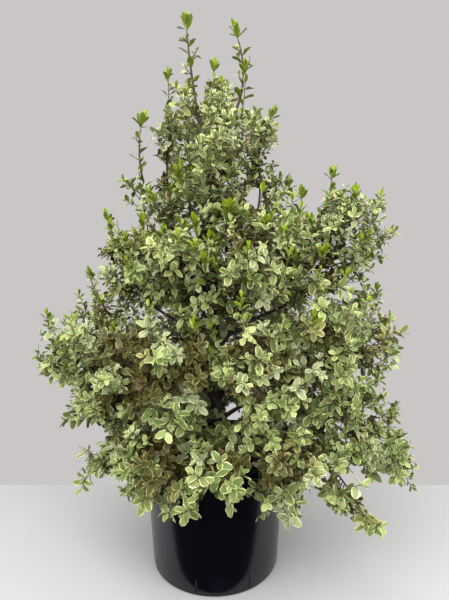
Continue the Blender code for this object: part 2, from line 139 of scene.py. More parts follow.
def tube(points: Sequence[Vector], radii: Sequence[float], sides: int) -> Shape:
    """Build a closed tapering tube.

    Args:
        points: The middle of each ring.
        radii: The radius of each ring.
        sides: How many sides each ring has.

    Returns:
        The vertices and the faces.
    """
    vertices = []
    side = across(points[1] - points[0])
    for index, (point, radius) in enumerate(zip(points, radii)):
        before = points[max(index - 1, 0)]
        after = points[min(index + 1, len(points) - 1)]
        along = (after - before).normalized()
        side = (side - along * side.dot(along)).normalized()
        for step in range(sides):
            spin = Quaternion(along, 2 * math.pi * step / sides)
            vertices.append(point + radius * (spin @ side))
    faces: list[Sequence[int]] = []
    for ring in range(len(points) - 1):
        faces += band(ring * sides, (ring + 1) * sides, sides)
    faces.append(tuple(reversed(range(sides))))
    faces.append(tuple(range(len(vertices) - sides, len(vertices))))
    return vertices, faces


def band(low: int, high: int, sides: int) -> list[Sequence[int]]:
    """Return the faces between two rings, each given by the place of its first vertex."""
    pairs = [(step, (step + 1) % sides) for step in range(sides)]
    return [(low + step, low + after, high + after, high + step) for step, after in pairs]


def from_display(*parts: int) -> Colour:
    """Return the linear colour of a display colour whose parts run from 0 to 255."""
    shares = [part / 255 for part in parts]
    return tuple(part / 12.92 if part <= 0.04045 else ((part + 0.055) / 1.055) ** 2.4 for part in shares)


# Node trees.


class TreeBuilder:
    """Adds nodes to a tree and joins them, so that a tree reads as a list of steps."""

    def __init__(self, tree: NodeTree) -> None:
        """Work on a tree."""
        self.tree = tree
        self.inputs: Any = None

    @classmethod
    def group(
        cls, name: str, kind: str, inputs: dict[str, float | None], outputs: Sequence[str] = ("Geometry",)
    ) -> "TreeBuilder":
        """Start a node group.

        Args:
            name: The group's name.
            kind: Shader or Geometry.
            inputs: The value that each named input starts with, or None where it takes geometry.
            outputs: The names of the outputs.

        Returns:
            A builder for the group, whose inputs are the sockets of its group input node.
        """
        build = cls(bpy.data.node_groups.new(name, kind + "NodeTree"))
        add_socket = build.tree.interface.new_socket
        for socket, value in inputs.items():
            carried = "Geometry" if value is None else type(value).__name__.capitalize()
            made = add_socket(name=socket, in_out="INPUT", socket_type="NodeSocket" + carried)
            if value is not None:
                made.default_value = value
        carried = "Geometry" if kind == "Geometry" else "Float"
        for socket in outputs:
            add_socket(name=socket, in_out="OUTPUT", socket_type="NodeSocket" + carried)
        build.inputs = build.node("NodeGroupInput").outputs
        return build

    def feed(self, node: Node, inputs: dict[Any, Any]) -> Node:
        """Fill a node's inputs.

        Args:
            node: The node.
            inputs: Values, or sockets to link, for its inputs by name or by place.

        Returns:
            The same node.
        """
        for name, value in inputs.items():
            socket = node.inputs[name]
            if isinstance(value, Socket):
                self.tree.links.new(value, socket)
            else:
                socket.default_value = (*value, 1) if socket.type == "RGBA" else value
        return node

    def node(self, kind: str, inputs: dict[Any, Any] | None = None, **settings: Any) -> Node:
        """Add a node.

        Args:
            kind: The node's type.
            inputs: Values, or sockets to link, for its inputs.
            settings: The node's own settings.

        Returns:
            The new node.
        """
        made = self.tree.nodes.new(kind)
        for name, value in settings.items():
            setattr(made, name, value)
        return self.feed(made, inputs or {})

    def result(self, kind: str, inputs: dict[Any, Any] | None = None, **settings: Any) -> Socket:
        """Add a node and return its first output."""
        return self.node(kind, inputs, **settings).outputs[0]

    def math(self, operation: str, first: Any, second: Any, third: Any = 0.0) -> Socket:
        """Return the result of one step of arithmetic."""
        return self.result("ShaderNodeMath", {0: first, 1: second, 2: third}, operation=operation)

    def attribute(self, name: str, kind: str) -> Socket:
        """Return a named attribute of the geometry."""
        return self.result("GeometryNodeInputNamedAttribute", {"Name": name}, data_type=kind)

    def strew(self, points: Socket, forms: Collection, inputs: dict[str, Any]) -> Socket:
        """Set one of a few forms on each point.

        Args:
            points: The geometry whose points get the forms.
            forms: The collection of the forms.
            inputs: The turn and the scale of each form, and which one is picked.

        Returns:
            The forms as real geometry.
        """
        sources = {"Collection": forms, "Separate Children": True, "Reset Children": True}
        info = self.result("GeometryNodeCollectionInfo", sources)
        strewn = {"Points": points, "Instance": info, "Pick Instance": True, **inputs}
        copies = self.result("GeometryNodeInstanceOnPoints", strewn)
        return self.result("GeometryNodeRealizeInstances", {"Geometry": copies})

    def painted(self, geometry: Socket, material: Material, chosen: Any = True) -> Socket:
        """Return the geometry with a material on its chosen faces."""
        inputs = {"Geometry": geometry, "Selection": chosen, "Material": material}
        return self.result("GeometryNodeSetMaterial", inputs)

    def close(self, *results: Socket) -> NodeTree:
        """Feed the group's outputs and return its tree."""
        self.node("NodeGroupOutput", dict(enumerate(results)))
        return self.tree


# Pieces.


def add_object(name: str, data: ID) -> Object:
    """Link a new object with this mesh, lamp or camera to the scene.

    Args:
        name: The object's name.
        data: What the object shows.

    Returns:
        The object.
    """
    made = bpy.data.objects.new(name, data)
    bpy.context.scene.collection.objects.link(made)
    return made


def mesh_of(name: str, shape: Shape, edges: Sequence[tuple[int, int]] = ()) -> Mesh:
    """Build a mesh.

    Args:
        name: The mesh's name.
        shape: Its vertices and faces.
        edges: Its edges, where it has no faces.

    Returns:
        The mesh.
    """
    mesh = bpy.data.meshes.new(name)
    mesh.from_pydata(shape[0], edges, shape[1])
    return mesh


def mesh_from(name: str, body: bmesh.types.BMesh) -> Mesh:
    """Turn an editable body into a mesh, and free the body.

    Args:
        name: The mesh's name.
        body: The body.

    Returns:
        The mesh.
    """
    mesh = bpy.data.meshes.new(name)
    body.to_mesh(mesh)
    body.free()
    return mesh


def mark(mesh: Mesh, name: str, kind: str, values: Iterable[Any], domain: str = "POINT") -> None:
    """Give a mesh an attribute with these values."""
    mesh.attributes.new(name, kind, domain).data.foreach_set("value", values)


def gather_forms(name: str, meshes: Iterable[Mesh]) -> Collection:
    """Put meshes into a collection from which a tree picks its forms.

    Args:
        name: The collection's name.
        meshes: The meshes, whose names give their order.

    Returns:
        The collection.
    """
    forms = bpy.data.collections.new(name)
    for mesh in meshes:
        forms.objects.link(bpy.data.objects.new(mesh.name, mesh))
    return forms


def drop_forms(forms: Collection) -> None:
    """Remove the forms that have been strewn.

    Args:
        forms: The collection of the forms.
    """
    for item in list(forms.objects):
        bpy.data.meshes.remove(item.data)
    bpy.data.collections.remove(forms)


def run_tree(name: str, host: Mesh, tree: NodeTree, values: dict[str, Any]) -> Object:
    """Run a geometry tree on a mesh and keep what comes out as a plain mesh object.

    Args:
        name: The name of the piece.
        host: The mesh that the tree starts from.
        tree: The geometry tree.
        values: The tree's inputs by name.

    Returns:
        The finished object, with no modifier on it.
    """
    holder = add_object(name + "_host", host)
    modifier = holder.modifiers.new(name, "NODES")
    modifier.node_group = tree
    for item in tree.interface.items_tree:
        if item.item_type == "SOCKET" and item.in_out == "INPUT" and item.name in values:
            modifier[item.identifier] = values[item.name]
    graph = bpy.context.evaluated_depsgraph_get()
    mesh = bpy.data.meshes.new_from_object(holder.evaluated_get(graph))
    holder.modifiers.remove(modifier)
    bpy.data.objects.remove(holder)
    bpy.data.meshes.remove(host)
    mesh.name = name
    return add_object(name, mesh)


def shade_round(piece: Object, degrees: float) -> None:
    """Shade a piece smooth, with the edges that are sharper than this kept."""
    piece.data.shade_smooth()
    piece.data.set_sharp_from_angle(angle=math.radians(degrees))


def hand_over(piece: Object, nodes: Sequence[str] = ()) -> None:
    """Put a piece on the plant's body and say what it is made of and stands for.

    Args:
        piece: The finished piece.
        nodes: The CAD nodes that the piece replaces.
    """
    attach(piece, BODY)
    if nodes:
        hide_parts(*nodes)
    faces = sum(len(polygon.vertices) - 2 for polygon in piece.data.polygons)
    LOG.info("%s: %d triangles, replaces %d nodes", piece.name, faces, len(nodes))


# Finishes.


def grain_group() -> NodeTree:
    """Build the shader group of streaks along the upright and of fine specks, once.

    Returns:
        The group.
    """
    known = bpy.data.node_groups.get("grain")
    if known:
        return known
    build = TreeBuilder.group("grain", "Shader", {"Scale": 120.0, "Stretch": 0.2}, ["Streaks", "Specks"])
    scale = build.inputs["Scale"]
    where = build.node("ShaderNodeTexCoord").outputs["Object"]
    low_scale = build.math("MULTIPLY", scale, build.inputs["Stretch"])
    scales = build.result("ShaderNodeCombineXYZ", {0: scale, 1: scale, 2: low_scale})
    drawn = build.result("ShaderNodeVectorMath", {0: where, 1: scales}, operation="MULTIPLY")
    streaks = build.result("ShaderNodeTexNoise", {"Vector": drawn, "Scale": 1.0, "Detail": 4.0})
    fine = {"Vector": where, "Scale": scale, "Detail": 3.0, "Roughness": 0.7}
    return build.close(streaks, build.result("ShaderNodeTexNoise", fine))


class Paint(TreeBuilder):
    """Adds the nodes of one material round its Principled shader."""

    def __init__(self, name: str) -> None:
        """Start a material.

        Args:
            name: The material's name.
        """
        self.material = bpy.data.materials.new(name)
        self.material.use_nodes = True
        super().__init__(self.material.node_tree)

    def grain(self, scale: float, stretch: float = 1.0) -> tuple[Socket, Socket]:
        """Return the streaks and the specks of the grain at a scale and a stretch."""
        node = self.node("ShaderNodeGroup", {"Scale": scale, "Stretch": stretch}, node_tree=grain_group())
        return node.outputs["Streaks"], node.outputs["Specks"]

    def spread(self, mask: Socket, low: float, high: float) -> Socket:
        """Return a mask stretched so that it runs from nought at low to one at high."""
        return self.result("ShaderNodeMapRange", {"Value": mask, "From Min": low, "From Max": high})

    def blend(self, mask: Socket, first: Any, second: Any) -> Socket:
        """Return the mix of two colours by a mask."""
        return self.node("ShaderNodeMix", {0: mask, 6: first, 7: second}, data_type="RGBA").outputs[2]

    def relief(self, height: Socket, depth: float) -> Socket:
        """Return the normals of a relief, whose height runs from nought to one, at a depth in metres."""
        return self.result("ShaderNodeBump", {"Height": height, "Distance": depth, "Strength": 1.0})

    def finish(self, inputs: dict[str, Any]) -> Material:
        """Feed the shader and return the material."""
        self.feed(self.tree.nodes["Principled BSDF"], inputs)
        return self.material


@dataclass(frozen=True)
class PlasticFinish:
    """Black moulded plastic: a soft gloss, a faint orange-peel skin and a little dust near the foot."""

    colour: Colour = (0.0012, 0.0012, 0.0032)
    dust: Colour = (0.01, 0.012, 0.018)
    gloss: Colour = (0.82, 0.91, 1.0)
    roughness: Pair = (0.17, 0.27)
    dust_height: float = 0.06
    dust_share: Pair = (0.12, 0.45)
    smudges: Pair = (0.52, 0.8)
    smudge_scale: float = 26.0
    smudge_stretch: float = 0.5
    skin_scale: float = 900.0
    skin_depth: float = 0.00003

    def material(self) -> Material:
        """Build the material.

        Returns:
            The material.
        """
        paint = Paint("black_plastic_moulded")
        skin = paint.grain(self.skin_scale)[1]
        streaks, specks = paint.grain(self.smudge_scale, self.smudge_stretch)
        where = paint.node("ShaderNodeTexCoord").outputs["Object"]
        height = paint.node("ShaderNodeSeparateXYZ", {0: where}).outputs[2]
        least, more = self.dust_share
        cover = paint.math("MULTIPLY_ADD", paint.spread(height, self.dust_height, 0.0), more, least)
        dust = paint.math("MULTIPLY", cover, paint.spread(specks, *self.smudges))
        smooth, rough = self.roughness
        return paint.finish({
            "Base Color": paint.blend(dust, self.colour, self.dust),
            "Specular Tint": self.gloss,
            "Roughness": paint.math("MULTIPLY_ADD", streaks, rough - smooth, smooth),
            "Normal": paint.relief(skin, self.skin_depth),
        })


@dataclass(frozen=True)
class BarkFinish:
    """Thin dark bark, streaked along the limb, with small pale breathing spots."""

    name: str
    dark: Colour
    light: Colour
    spot: Colour
    scale: float = 240.0
    stretch: float = 0.16
    streaks: Pair = (0.34, 0.68)
    spot_scale: float = 2.3
    spots: Pair = (0.66, 0.74)
    roughness: float = 0.78
    depth: float = 0.0004

    def material(self) -> Material:
        """Build the material.

        Returns:
            The material.
        """
        paint = Paint(self.name)
        streaks = paint.spread(paint.grain(self.scale, self.stretch)[0], *self.streaks)
        spots = paint.spread(paint.grain(self.scale * self.spot_scale)[1], *self.spots)
        base = paint.blend(streaks, self.dark, self.light)
        return paint.finish({
            "Base Color": paint.blend(spots, base, self.spot),
            "Roughness": self.roughness,
            "Normal": paint.relief(paint.math("ADD", streaks, spots), self.depth),
        })


@dataclass(frozen=True)
class MixFinish:
    """Moist composted bark: dark crumbs with redder and paler bits."""

    name: str
    dark: Colour
    light: Colour
    scale: float
    stretch: float = 0.9
    bits: Pair = (0.38, 0.66)
    roughness: float = 0.92
    depth: float = 0.0012

    def material(self) -> Material:
        """Build the material.

        Returns:
            The material.
        """
        paint = Paint(self.name)
        bits = paint.grain(self.scale, self.stretch)[1]
        return paint.finish({
            "Base Color": paint.blend(paint.spread(bits, *self.bits), self.dark, self.light),
            "Roughness": self.roughness,
            "Normal": paint.relief(bits, self.depth),
        })


@dataclass(frozen=True)
class SmallFinish:
    """A plain colour with a fine relief, for leaves and twigs, which are too small for a pattern."""

    name: str
    colour: Colour
    roughness: float
    gloss: float = 0.35
    depth: float = 0.0002
    scale: float = 420.0

    def material(self) -> Material:
        """Build the material.

        Returns:
            The material.
        """
        paint = Paint(self.name)
        return paint.finish({
            "Base Color": self.colour,
            "Roughness": self.roughness,
            "Specular IOR Level": self.gloss,
            "Normal": paint.relief(paint.grain(self.scale)[1], self.depth),
        })


@dataclass(frozen=True)
class LeafTint:
    """The two colours of one kind of leaf, as they show on a display: its middle and its margin."""

    middle: tuple[int, int, int]
    margin: tuple[int, int, int]
    roughness: float = 0.45


class Tint(Enum):
    """The kinds of leaf colour. The outer leaves of a rosette take one kind, and so do its inner ones."""

    SAGE = LeafTint((124, 138, 78), (202, 200, 142))
    GREEN = LeafTint((94, 115, 57), (188, 188, 126))
    GREY = LeafTint((140, 152, 106), (214, 210, 166))
    OLIVE = LeafTint((120, 121, 62), (188, 181, 122))
    PALE = LeafTint((152, 167, 98), (204, 206, 150))
    SHADED = LeafTint((66, 66, 23), (133, 122, 66), 0.55)
    BROWN = LeafTint((70, 56, 30), (106, 89, 52), 0.6)
    LIME = LeafTint((122, 146, 20), (158, 175, 44), 0.36)
    FRESH = LeafTint((94, 114, 28), (132, 145, 48), 0.38)

    @property
    def index(self) -> int:
        """Return this tint's place among the tints."""
        return list(Tint).index(self)

    def finishes(self) -> list[SmallFinish]:
        """Return the finishes of the leaf's middle and of its margin."""
        zones = {"leaf_middle_": self.value.middle, "leaf_margin_": self.value.margin}.items()
        return [self.finish(zone + self.name.lower(), colour) for zone, colour in zones]

    def finish(self, name: str, colour: tuple[int, int, int]) -> SmallFinish:
        """Return the finish of one zone of the leaf."""
        return SmallFinish(name, from_display(*colour), self.value.roughness)


LIT_TINTS = (Tint.SAGE, Tint.GREEN, Tint.GREY, Tint.OLIVE, Tint.PALE)
LOW_WEIGHTS = (3.5, 3.6, 2.4, 1.0, 0.6)
# Paler weights high on the plant: partly sun-bleached leaves, partly painted light on the upper crown.
HIGH_WEIGHTS = (4.2, 1.2, 4.0, 0.8, 2.2)
LEADER_TINTS = (Tint.FRESH, Tint.FRESH, Tint.GREEN, Tint.SAGE)
YOUNG_TINTS = (Tint.FRESH, Tint.LIME)


# The pot and what it holds.


@dataclass(frozen=True)
class Pot:
    """The black nursery pot: a thin wall, a rim band with a rolled lip, and drain slots at the foot."""

    height: float = 0.225
    rim_radius: float = 0.141
    rim_band: float = 0.035
    neck_radius: float = 0.1335
    foot_radius: float = 0.1225
    foot_bevel: float = 0.004
    foot_tuck: float = 0.0008
    lip_bevel: float = 0.0015
    wall: float = 0.002
    floor: float = 0.003
    slot_count: int = 8
    slot_turn: float = -15
    slot_width: float = 0.0035
    slot_bottom: float = 0.007
    slot_top: float = 0.031
    slot_steps: int = 8
    slot_reach: float = 0.01
    sides: int = 160
    corner_steps: int = 4
    sharp: float = 32
    finish: PlasticFinish = field(default_factory=PlasticFinish)

    @property
    def band_foot(self) -> float:
        """Return the height of the rim band's lower edge."""
        return self.height - self.rim_band

    def outer_radius(self, height: float) -> float:
        """Return the radius of the outside wall at a height below the rim band."""
        widening = self.neck_radius - self.foot_radius + self.foot_tuck
        return self.foot_radius - self.foot_tuck + widening * (height / self.band_foot)

    def inner_radius(self, height: float) -> float:
        """Return the radius of the inside wall at a height below the rim band."""
        share = (height - self.foot_bevel) / (self.band_foot - self.foot_bevel)
        return self.foot_radius + (self.neck_radius - self.foot_radius) * share - self.wall

    def corners(self) -> tuple[Spot, ...]:
        """List the corners of the outline that is spun into the pot.

        Returns:
            Each corner's radius, height and rounding.
        """
        lip = self.lip_bevel
        above_slots = self.slot_top + self.wall
        return (
            (0.0, 0.0, 0.0),
            (self.outer_radius(0), 0.0, self.foot_bevel),
            (self.outer_radius(above_slots), above_slots, 0.0),
            (self.neck_radius, self.band_foot, lip),
            (self.rim_radius - lip / 2, self.band_foot + lip, lip),
            (self.rim_radius, self.height, lip),
            (self.rim_radius - lip - self.wall, self.height, lip * 0.8),
            (self.rim_radius - 2 * lip - self.wall, self.band_foot + lip + self.wall, lip),
            (self.inner_radius(self.band_foot), self.band_foot + self.wall, lip),
            (self.inner_radius(above_slots), above_slots, 0.0),
            (self.inner_radius(self.floor), self.floor, lip),
            (0.0, self.floor, 0.0),
        )

    def profile(self) -> list[Vector]:
        """Round the corners of the outline.

        Returns:
            The points of the outline, each a radius and a height.
        """
        corners = self.corners()
        points = [Vector(corners[0][:2])]
        for before, corner, after in zip(corners, corners[1:], corners[2:]):
            here = Vector(corner[:2])
            start = here + (Vector(before[:2]) - here).normalized() * corner[2]
            end = here + (Vector(after[:2]) - here).normalized() * corner[2]
            points += course((start, here, end), self.corner_steps + 1)
        return points + [Vector(corners[-1][:2])]

    def shell(self) -> Object:
        """Spin the outline into the pot.

        Returns:
            The pot, with no slots yet.
        """
        body = bmesh.new()
        points = [body.verts.new((point.x, 0, point.y)) for point in self.profile()]
        edges = [body.edges.new(pair) for pair in zip(points, points[1:])]
        turn = {"axis": UP, "cent": (0, 0, 0), "angle": 2 * math.pi, "steps": self.sides}
        bmesh.ops.spin(body, geom=points + edges, use_merge=True, **turn)
        bmesh.ops.remove_doubles(body, verts=body.verts, dist=1e-6)
        bmesh.ops.recalc_face_normals(body, faces=body.faces)
        return add_object("pot_moulded", mesh_from("pot_moulded", body))

    def slot_outline(self, outward: Vector) -> list[Vector]:
        """Draw one drain slot.

        Args:
            outward: The direction that the slot is cut in.

        Returns:
            The points of its round-ended outline, in a plane through the pot's axis.
        """
        half = self.slot_width / 2
        side = UP.cross(outward)
        outline = []
        for step in range(2 * self.slot_steps):
            angle = math.pi * (step + 0.5) / self.slot_steps
            middle = self.slot_top - half if math.sin(angle) > 0 else self.slot_bottom + half
            outline.append(side * half * math.cos(angle) + UP * (middle + half * math.sin(angle)))
        return outline

    def slot_cutter(self) -> Object:
        """Build the round-ended bars that cut the drain slots.

        Returns:
            The bars as one object.
        """
        body = bmesh.new()
        for index in range(self.slot_count):
            outward = place(self.slot_turn + index * 360 / self.slot_count, 1, 0)
            outline = self.slot_outline(outward)
            rings = []
            for reach in (self.foot_radius - self.slot_reach, self.foot_radius + self.slot_reach):
                rings.append([body.verts.new(outward * reach + point) for point in outline])
            near, far = rings
            body.faces.new(near)
            body.faces.new(reversed(far))
            for step in range(len(outline)):
                after = (step + 1) % len(outline)
                body.faces.new((near[step], far[step], far[after], near[after]))
        bmesh.ops.recalc_face_normals(body, faces=body.faces)
        return add_object("slot_cutter", mesh_from("slot_cutter", body))

    def build(self) -> None:
        """Build the pot, dress it and hand it over."""
        piece = self.shell()
        cutter = self.slot_cutter()
        boolean = piece.modifiers.new("slots", "BOOLEAN")
        boolean.operation = "DIFFERENCE"
        boolean.solver = "EXACT"
        boolean.object = cutter
        graph = bpy.context.evaluated_depsgraph_get()
        piece.data = bpy.data.meshes.new_from_object(piece.evaluated_get(graph))
        piece.modifiers.clear()
        bpy.data.objects.remove(cutter)
        piece.data.materials.clear()
        piece.data.materials.append(self.finish.material())
        shade_round(piece, self.sharp)
        hand_over(piece, ["pot"])


@dataclass(frozen=True)
class PottingMix:
    """The potting mix: a crumbly mound that fills the pot, with loose bark chips on it.

    The chips' widths and roughness are shares of their length, drawn between two numbers.
    """

    pot: Pot
    edge: float = 0.184
    level: float = 0.196
    patch: float = 0.03
    gap: float = 0.0003
    rings: int = 44
    sides: int = 120
    sharp: float = 60
    lump: float = 0.0022
    lump_scale: float = 70.0
    crumb_share: float = 0.5
    crumb_scale: float = 2.7
    fade_middle: float = 6
    fade_rings: float = 3
    chip_density: float = 17000.0
    chip_size: float = 0.011
    chip_sizes: Pair = (0.35, 1.0)
    chip_tilt: float = 0.5
    chip_turn: float = 6.283
    chip_forms: int = 4
    chip_width: Pair = (0.35, 0.75)
    chip_roughness: Pair = (0.8, 1.15)
    chip_thickness: float = 0.3
    seed: int = 7
    crumbs: MixFinish = MixFinish("bark_mix_crumbs", (0.008, 0.006, 0.004), (0.045, 0.027, 0.017), 260.0)
    bits: MixFinish = MixFinish("bark_mix_chips", (0.03, 0.017, 0.011), (0.12, 0.07, 0.042), 320.0)

    def top_point(self, ring: int, side: int) -> Vector:
        """Find a point of the mound's top, lumpy except at the edge and under the trunk.

        Args:
            ring: The ring that it is on, counted from the middle.
            side: Its place on the ring.

        Returns:
            The point.
        """
        outer = self.pot.inner_radius(self.edge) - self.gap
        radius = outer * ring / self.rings
        angle = 2 * math.pi * side / self.sides
        slope = min(max((radius - self.patch) / (outer - self.patch), 0.0), 1.0)
        flat = Vector((radius * math.cos(angle), radius * math.sin(angle), 0))
        crumb = noise.noise(flat * self.lump_scale * self.crumb_scale)
        lump = noise.noise(flat * self.lump_scale) + self.crumb_share * crumb
        fade = min(slope * self.fade_middle, 1.0) * min((self.rings - ring) / self.fade_rings, 1.0)
        return flat + UP * (self.level + (self.edge - self.level) * slope + self.lump * lump * fade)

    def shell(self, closed: bool) -> Shape:
        """Build the mound's surface.

        Args:
            closed: Whether it has its side and its underside too.

        Returns:
            The vertices and the faces.
        """
        loops = []
        for ring in range(1, self.rings + 1):
            loops.append([self.top_point(ring, side) for side in range(self.sides)])
        if closed:
            foot = self.pot.floor + self.gap
            radius = self.pot.inner_radius(self.pot.floor) - self.gap
            rim = [point.xy.normalized() * radius for point in loops[-1]]
            loops.append([Vector((spot.x, spot.y, foot)) for spot in rim])
        vertices = [Vector((0, 0, self.level))]
        for loop in loops:
            vertices += loop
        faces: list[Sequence[int]] = []
        for side in range(self.sides):
            faces.append((0, 1 + side, 1 + (side + 1) % self.sides))
        last = 1 + (len(loops) - 1) * self.sides
        for first in range(1, last, self.sides):
            for low, after, high_after, high in band(first, first + self.sides, self.sides):
                faces.append((low, high, high_after, after))
        if closed:
            faces.append(tuple(reversed(range(last, last + self.sides))))
        return vertices, faces

    def chip_form(self, index: int, rule: random.Random) -> Mesh:
        """Build a flat splinter of bark, one metre long, to be strewn.

        Args:
            index: Its place among the forms.
            rule: Where its random numbers come from.

        Returns:
            The splinter's mesh.
        """
        body = bmesh.new()
        bmesh.ops.create_icosphere(body, subdivisions=1, radius=0.5)
        width = rule.uniform(*self.chip_width)
        for vertex in body.verts:
            long, broad, thick = [rule.uniform(*self.chip_roughness) for _ in range(3)]
            x, y, z = vertex.co
            vertex.co = (x * long, y * width * broad, z * self.chip_thickness * thick)
        return mesh_from("chip_form_" + str(index), body)

    def chip_tree(self, forms: Collection) -> NodeTree:
        """Build the geometry tree that scatters the chips over a surface.

        Args:
            forms: The collection of splinters.

        Returns:
            The tree.
        """
        inputs = {"Geometry": None, "Density": 1000.0, "Chip Size": 0.01, "Seed": 0}
        build = TreeBuilder.group("scatter_chips", "Geometry", inputs)
        seed = build.inputs["Seed"]
        ground = {"Mesh": build.inputs[0], "Density": build.inputs["Density"], "Seed": seed}
        spots = build.result("GeometryNodeDistributePointsOnFaces", ground)
        tilt = self.chip_tilt
        turns = {0: (-tilt, -tilt, 0.0), 1: (tilt, tilt, self.chip_turn)}
        turn = build.result("FunctionNodeRandomValue", turns, data_type="FLOAT_VECTOR")
        sizes = {2: self.chip_sizes[0], 3: self.chip_sizes[1], "Seed": seed}
        size = build.node("FunctionNodeRandomValue", sizes, data_type="FLOAT").outputs[1]
        real_size = build.math("MULTIPLY", size, build.inputs["Chip Size"])
        chips = build.strew(spots, forms, {"Rotation": turn, "Scale": real_size})
        return build.close(build.painted(chips, self.bits.material()))

    def build(self) -> None:
        """Build the mound and its chips, dress them and hand them over."""
        mound = add_object("potting_mix_mound", mesh_of("potting_mix_mound", self.shell(True)))
        mound.data.materials.append(self.crumbs.material())
        shade_round(mound, self.sharp)
        hand_over(mound, ["potting_mix"])
        rule = random.Random(self.seed)
        meshes = [self.chip_form(index, rule) for index in range(self.chip_forms)]
        forms = gather_forms("chip_forms", meshes)
        values = {"Density": self.chip_density, "Chip Size": self.chip_size, "Seed": self.seed}
        ground = mesh_of("chip_ground", self.shell(False))
        chips = run_tree("bark_chips", ground, self.chip_tree(forms), values)
        drop_forms(forms)
        hand_over(chips)


# The plant's plan: the same masses, limbs and rule as in the solids' source.


@dataclass(frozen=True)
class Mass:
    """A mass of foliage, and the bough that carries it.

    The turn is in degrees from the front of the plant, positive towards its right side as seen from the
    front. The fork is the height at which the bough leaves the trunk. The entry, where the bough ends and
    the mass begins, and the tip are each a reach from the pot's axis and a height. With no entry there is
    no bough, and the mass's stem meets the trunk. The girth is the radius of its space at the middle.
    """

    name: str
    turn: float
    fork: float
    entry: Pair | None
    tip: Pair
    girth: float
    dense: bool = True

    @property
    def part(self) -> str:
        """Return the name of the part of the crown that the mass belongs to."""
        storey = self.name.split("_")[0].replace("leader", "crown").replace("shoot", "crown")
        return storey + ("_front" if abs(self.turn) < 90 else "_back")

    @property
    def hangs(self) -> bool:
        """Tell whether the mass hangs over the pot's rim."""
        return self.name.startswith("skirt")

    @property
    def tops_trunk(self) -> bool:
        """Tell whether the mass grows on the tip of the trunk, with no bough of its own."""
        return self.name == "leader_left"

    @property
    def end(self) -> Vector:
        """Return the point where the mass ends."""
        return place(self.turn, *self.tip)


MASSES = (
    Mass("skirt_front_left", -27, 0.235, (0.11, 0.285), (0.225, 0.205), 0.086),
    Mass("skirt_front", 3, 0.262, (0.11, 0.29), (0.235, 0.2), 0.09),
    Mass("skirt_front_right", 37, 0.238, (0.11, 0.285), (0.262, 0.195), 0.09),
    Mass("skirt_right_front", 55, 0.266, (0.14, 0.285), (0.328, 0.148), 0.05),
    Mass("skirt_right", 82, 0.24, (0.13, 0.3), (0.368, 0.182), 0.09),
    Mass("skirt_right_back", 130, 0.268, (0.12, 0.29), (0.325, 0.24), 0.11),
    Mass("skirt_back", 178, 0.232, (0.12, 0.29), (0.3, 0.225), 0.11),
    Mass("skirt_left_back", -132, 0.262, (0.12, 0.29), (0.315, 0.24), 0.11),
    Mass("skirt_left", -94, 0.236, (0.13, 0.3), (0.288, 0.262), 0.076),
    Mass("skirt_left_front", -65, 0.27, (0.14, 0.28), (0.252, 0.225), 0.042),
    Mass("middle_front_left", -22, 0.3, (0.09, 0.39), (0.26, 0.37), 0.11),
    Mass("middle_front_right", 20, 0.33, (0.09, 0.4), (0.265, 0.395), 0.12),
    Mass("middle_right_front", 58, 0.31, (0.1, 0.4), (0.3, 0.41), 0.115),
    Mass("middle_right", 94, 0.345, (0.11, 0.41), (0.362, 0.424), 0.118),
    Mass("middle_right_back", 140, 0.305, (0.1, 0.4), (0.32, 0.42), 0.12),
    Mass("middle_left_back", -158, 0.335, (0.1, 0.4), (0.31, 0.42), 0.12),
    Mass("middle_left", -98, 0.315, (0.11, 0.385), (0.34, 0.376), 0.123),
    Mass("middle_left_front", -58, 0.35, (0.1, 0.4), (0.285, 0.39), 0.105),
    Mass("high_front_left", -24, 0.48, None, (0.19, 0.62), 0.12),
    Mass("high_front_right", 30, 0.45, None, (0.215, 0.65), 0.12),
    Mass("high_right", 84, 0.42, (0.11, 0.49), (0.258, 0.712), 0.112),
    Mass("high_right_back", 125, 0.395, (0.08, 0.5), (0.235, 0.66), 0.115),
    Mass("high_left_back", -150, 0.44, (0.08, 0.5), (0.235, 0.63), 0.115),
    Mass("high_left", -86, 0.405, (0.09, 0.48), (0.188, 0.638), 0.084),
    Mass("crown_left", -84, 0.52, (0.045, 0.6), (0.086, 0.89), 0.064),
    Mass("crown_front", 2, 0.55, None, (0.06, 0.905), 0.12),
    Mass("crown_right", 88, 0.54, (0.04, 0.6), (0.062, 0.885), 0.058),
    Mass("crown_back", 182, 0.6, None, (0.055, 0.93), 0.12),
    Mass("leader_right", 90, 0.72, (0.038, 0.86), (0.045, 1.015), 0.045, False),
    Mass("shoot_left", -95, 0.49, (0.115, 0.69), (0.145, 0.85), 0.032, False),
    Mass("leader_left", -90, 0.87, (0.034, 0.87), (0.055, 1.033), 0.05, False),
)


@dataclass(frozen=True)
class Sprig:
    """A leafy sprig that stands out of a mass and branches as the rest of it does.

    Its tip is given as a turn in degrees, a reach from the pot's axis and a height. Then come its length
    and the angle in degrees at which it rises outwards.
    """

    turn: float
    reach: float
    height: float
    length: float
    rise: float

    @property
    def tip(self) -> Vector:
        """Return the point where it ends."""
        return place(self.turn, self.reach, self.height)

    @property
    def heading(self) -> Vector:
        """Return the direction that it grows in."""
        angle = math.radians(self.rise)
        return place(self.turn, math.cos(angle), math.sin(angle))


class Shoot(Sprig):
    """A thin young shoot that stands out of a mass, with single leaves and a lime green tip."""


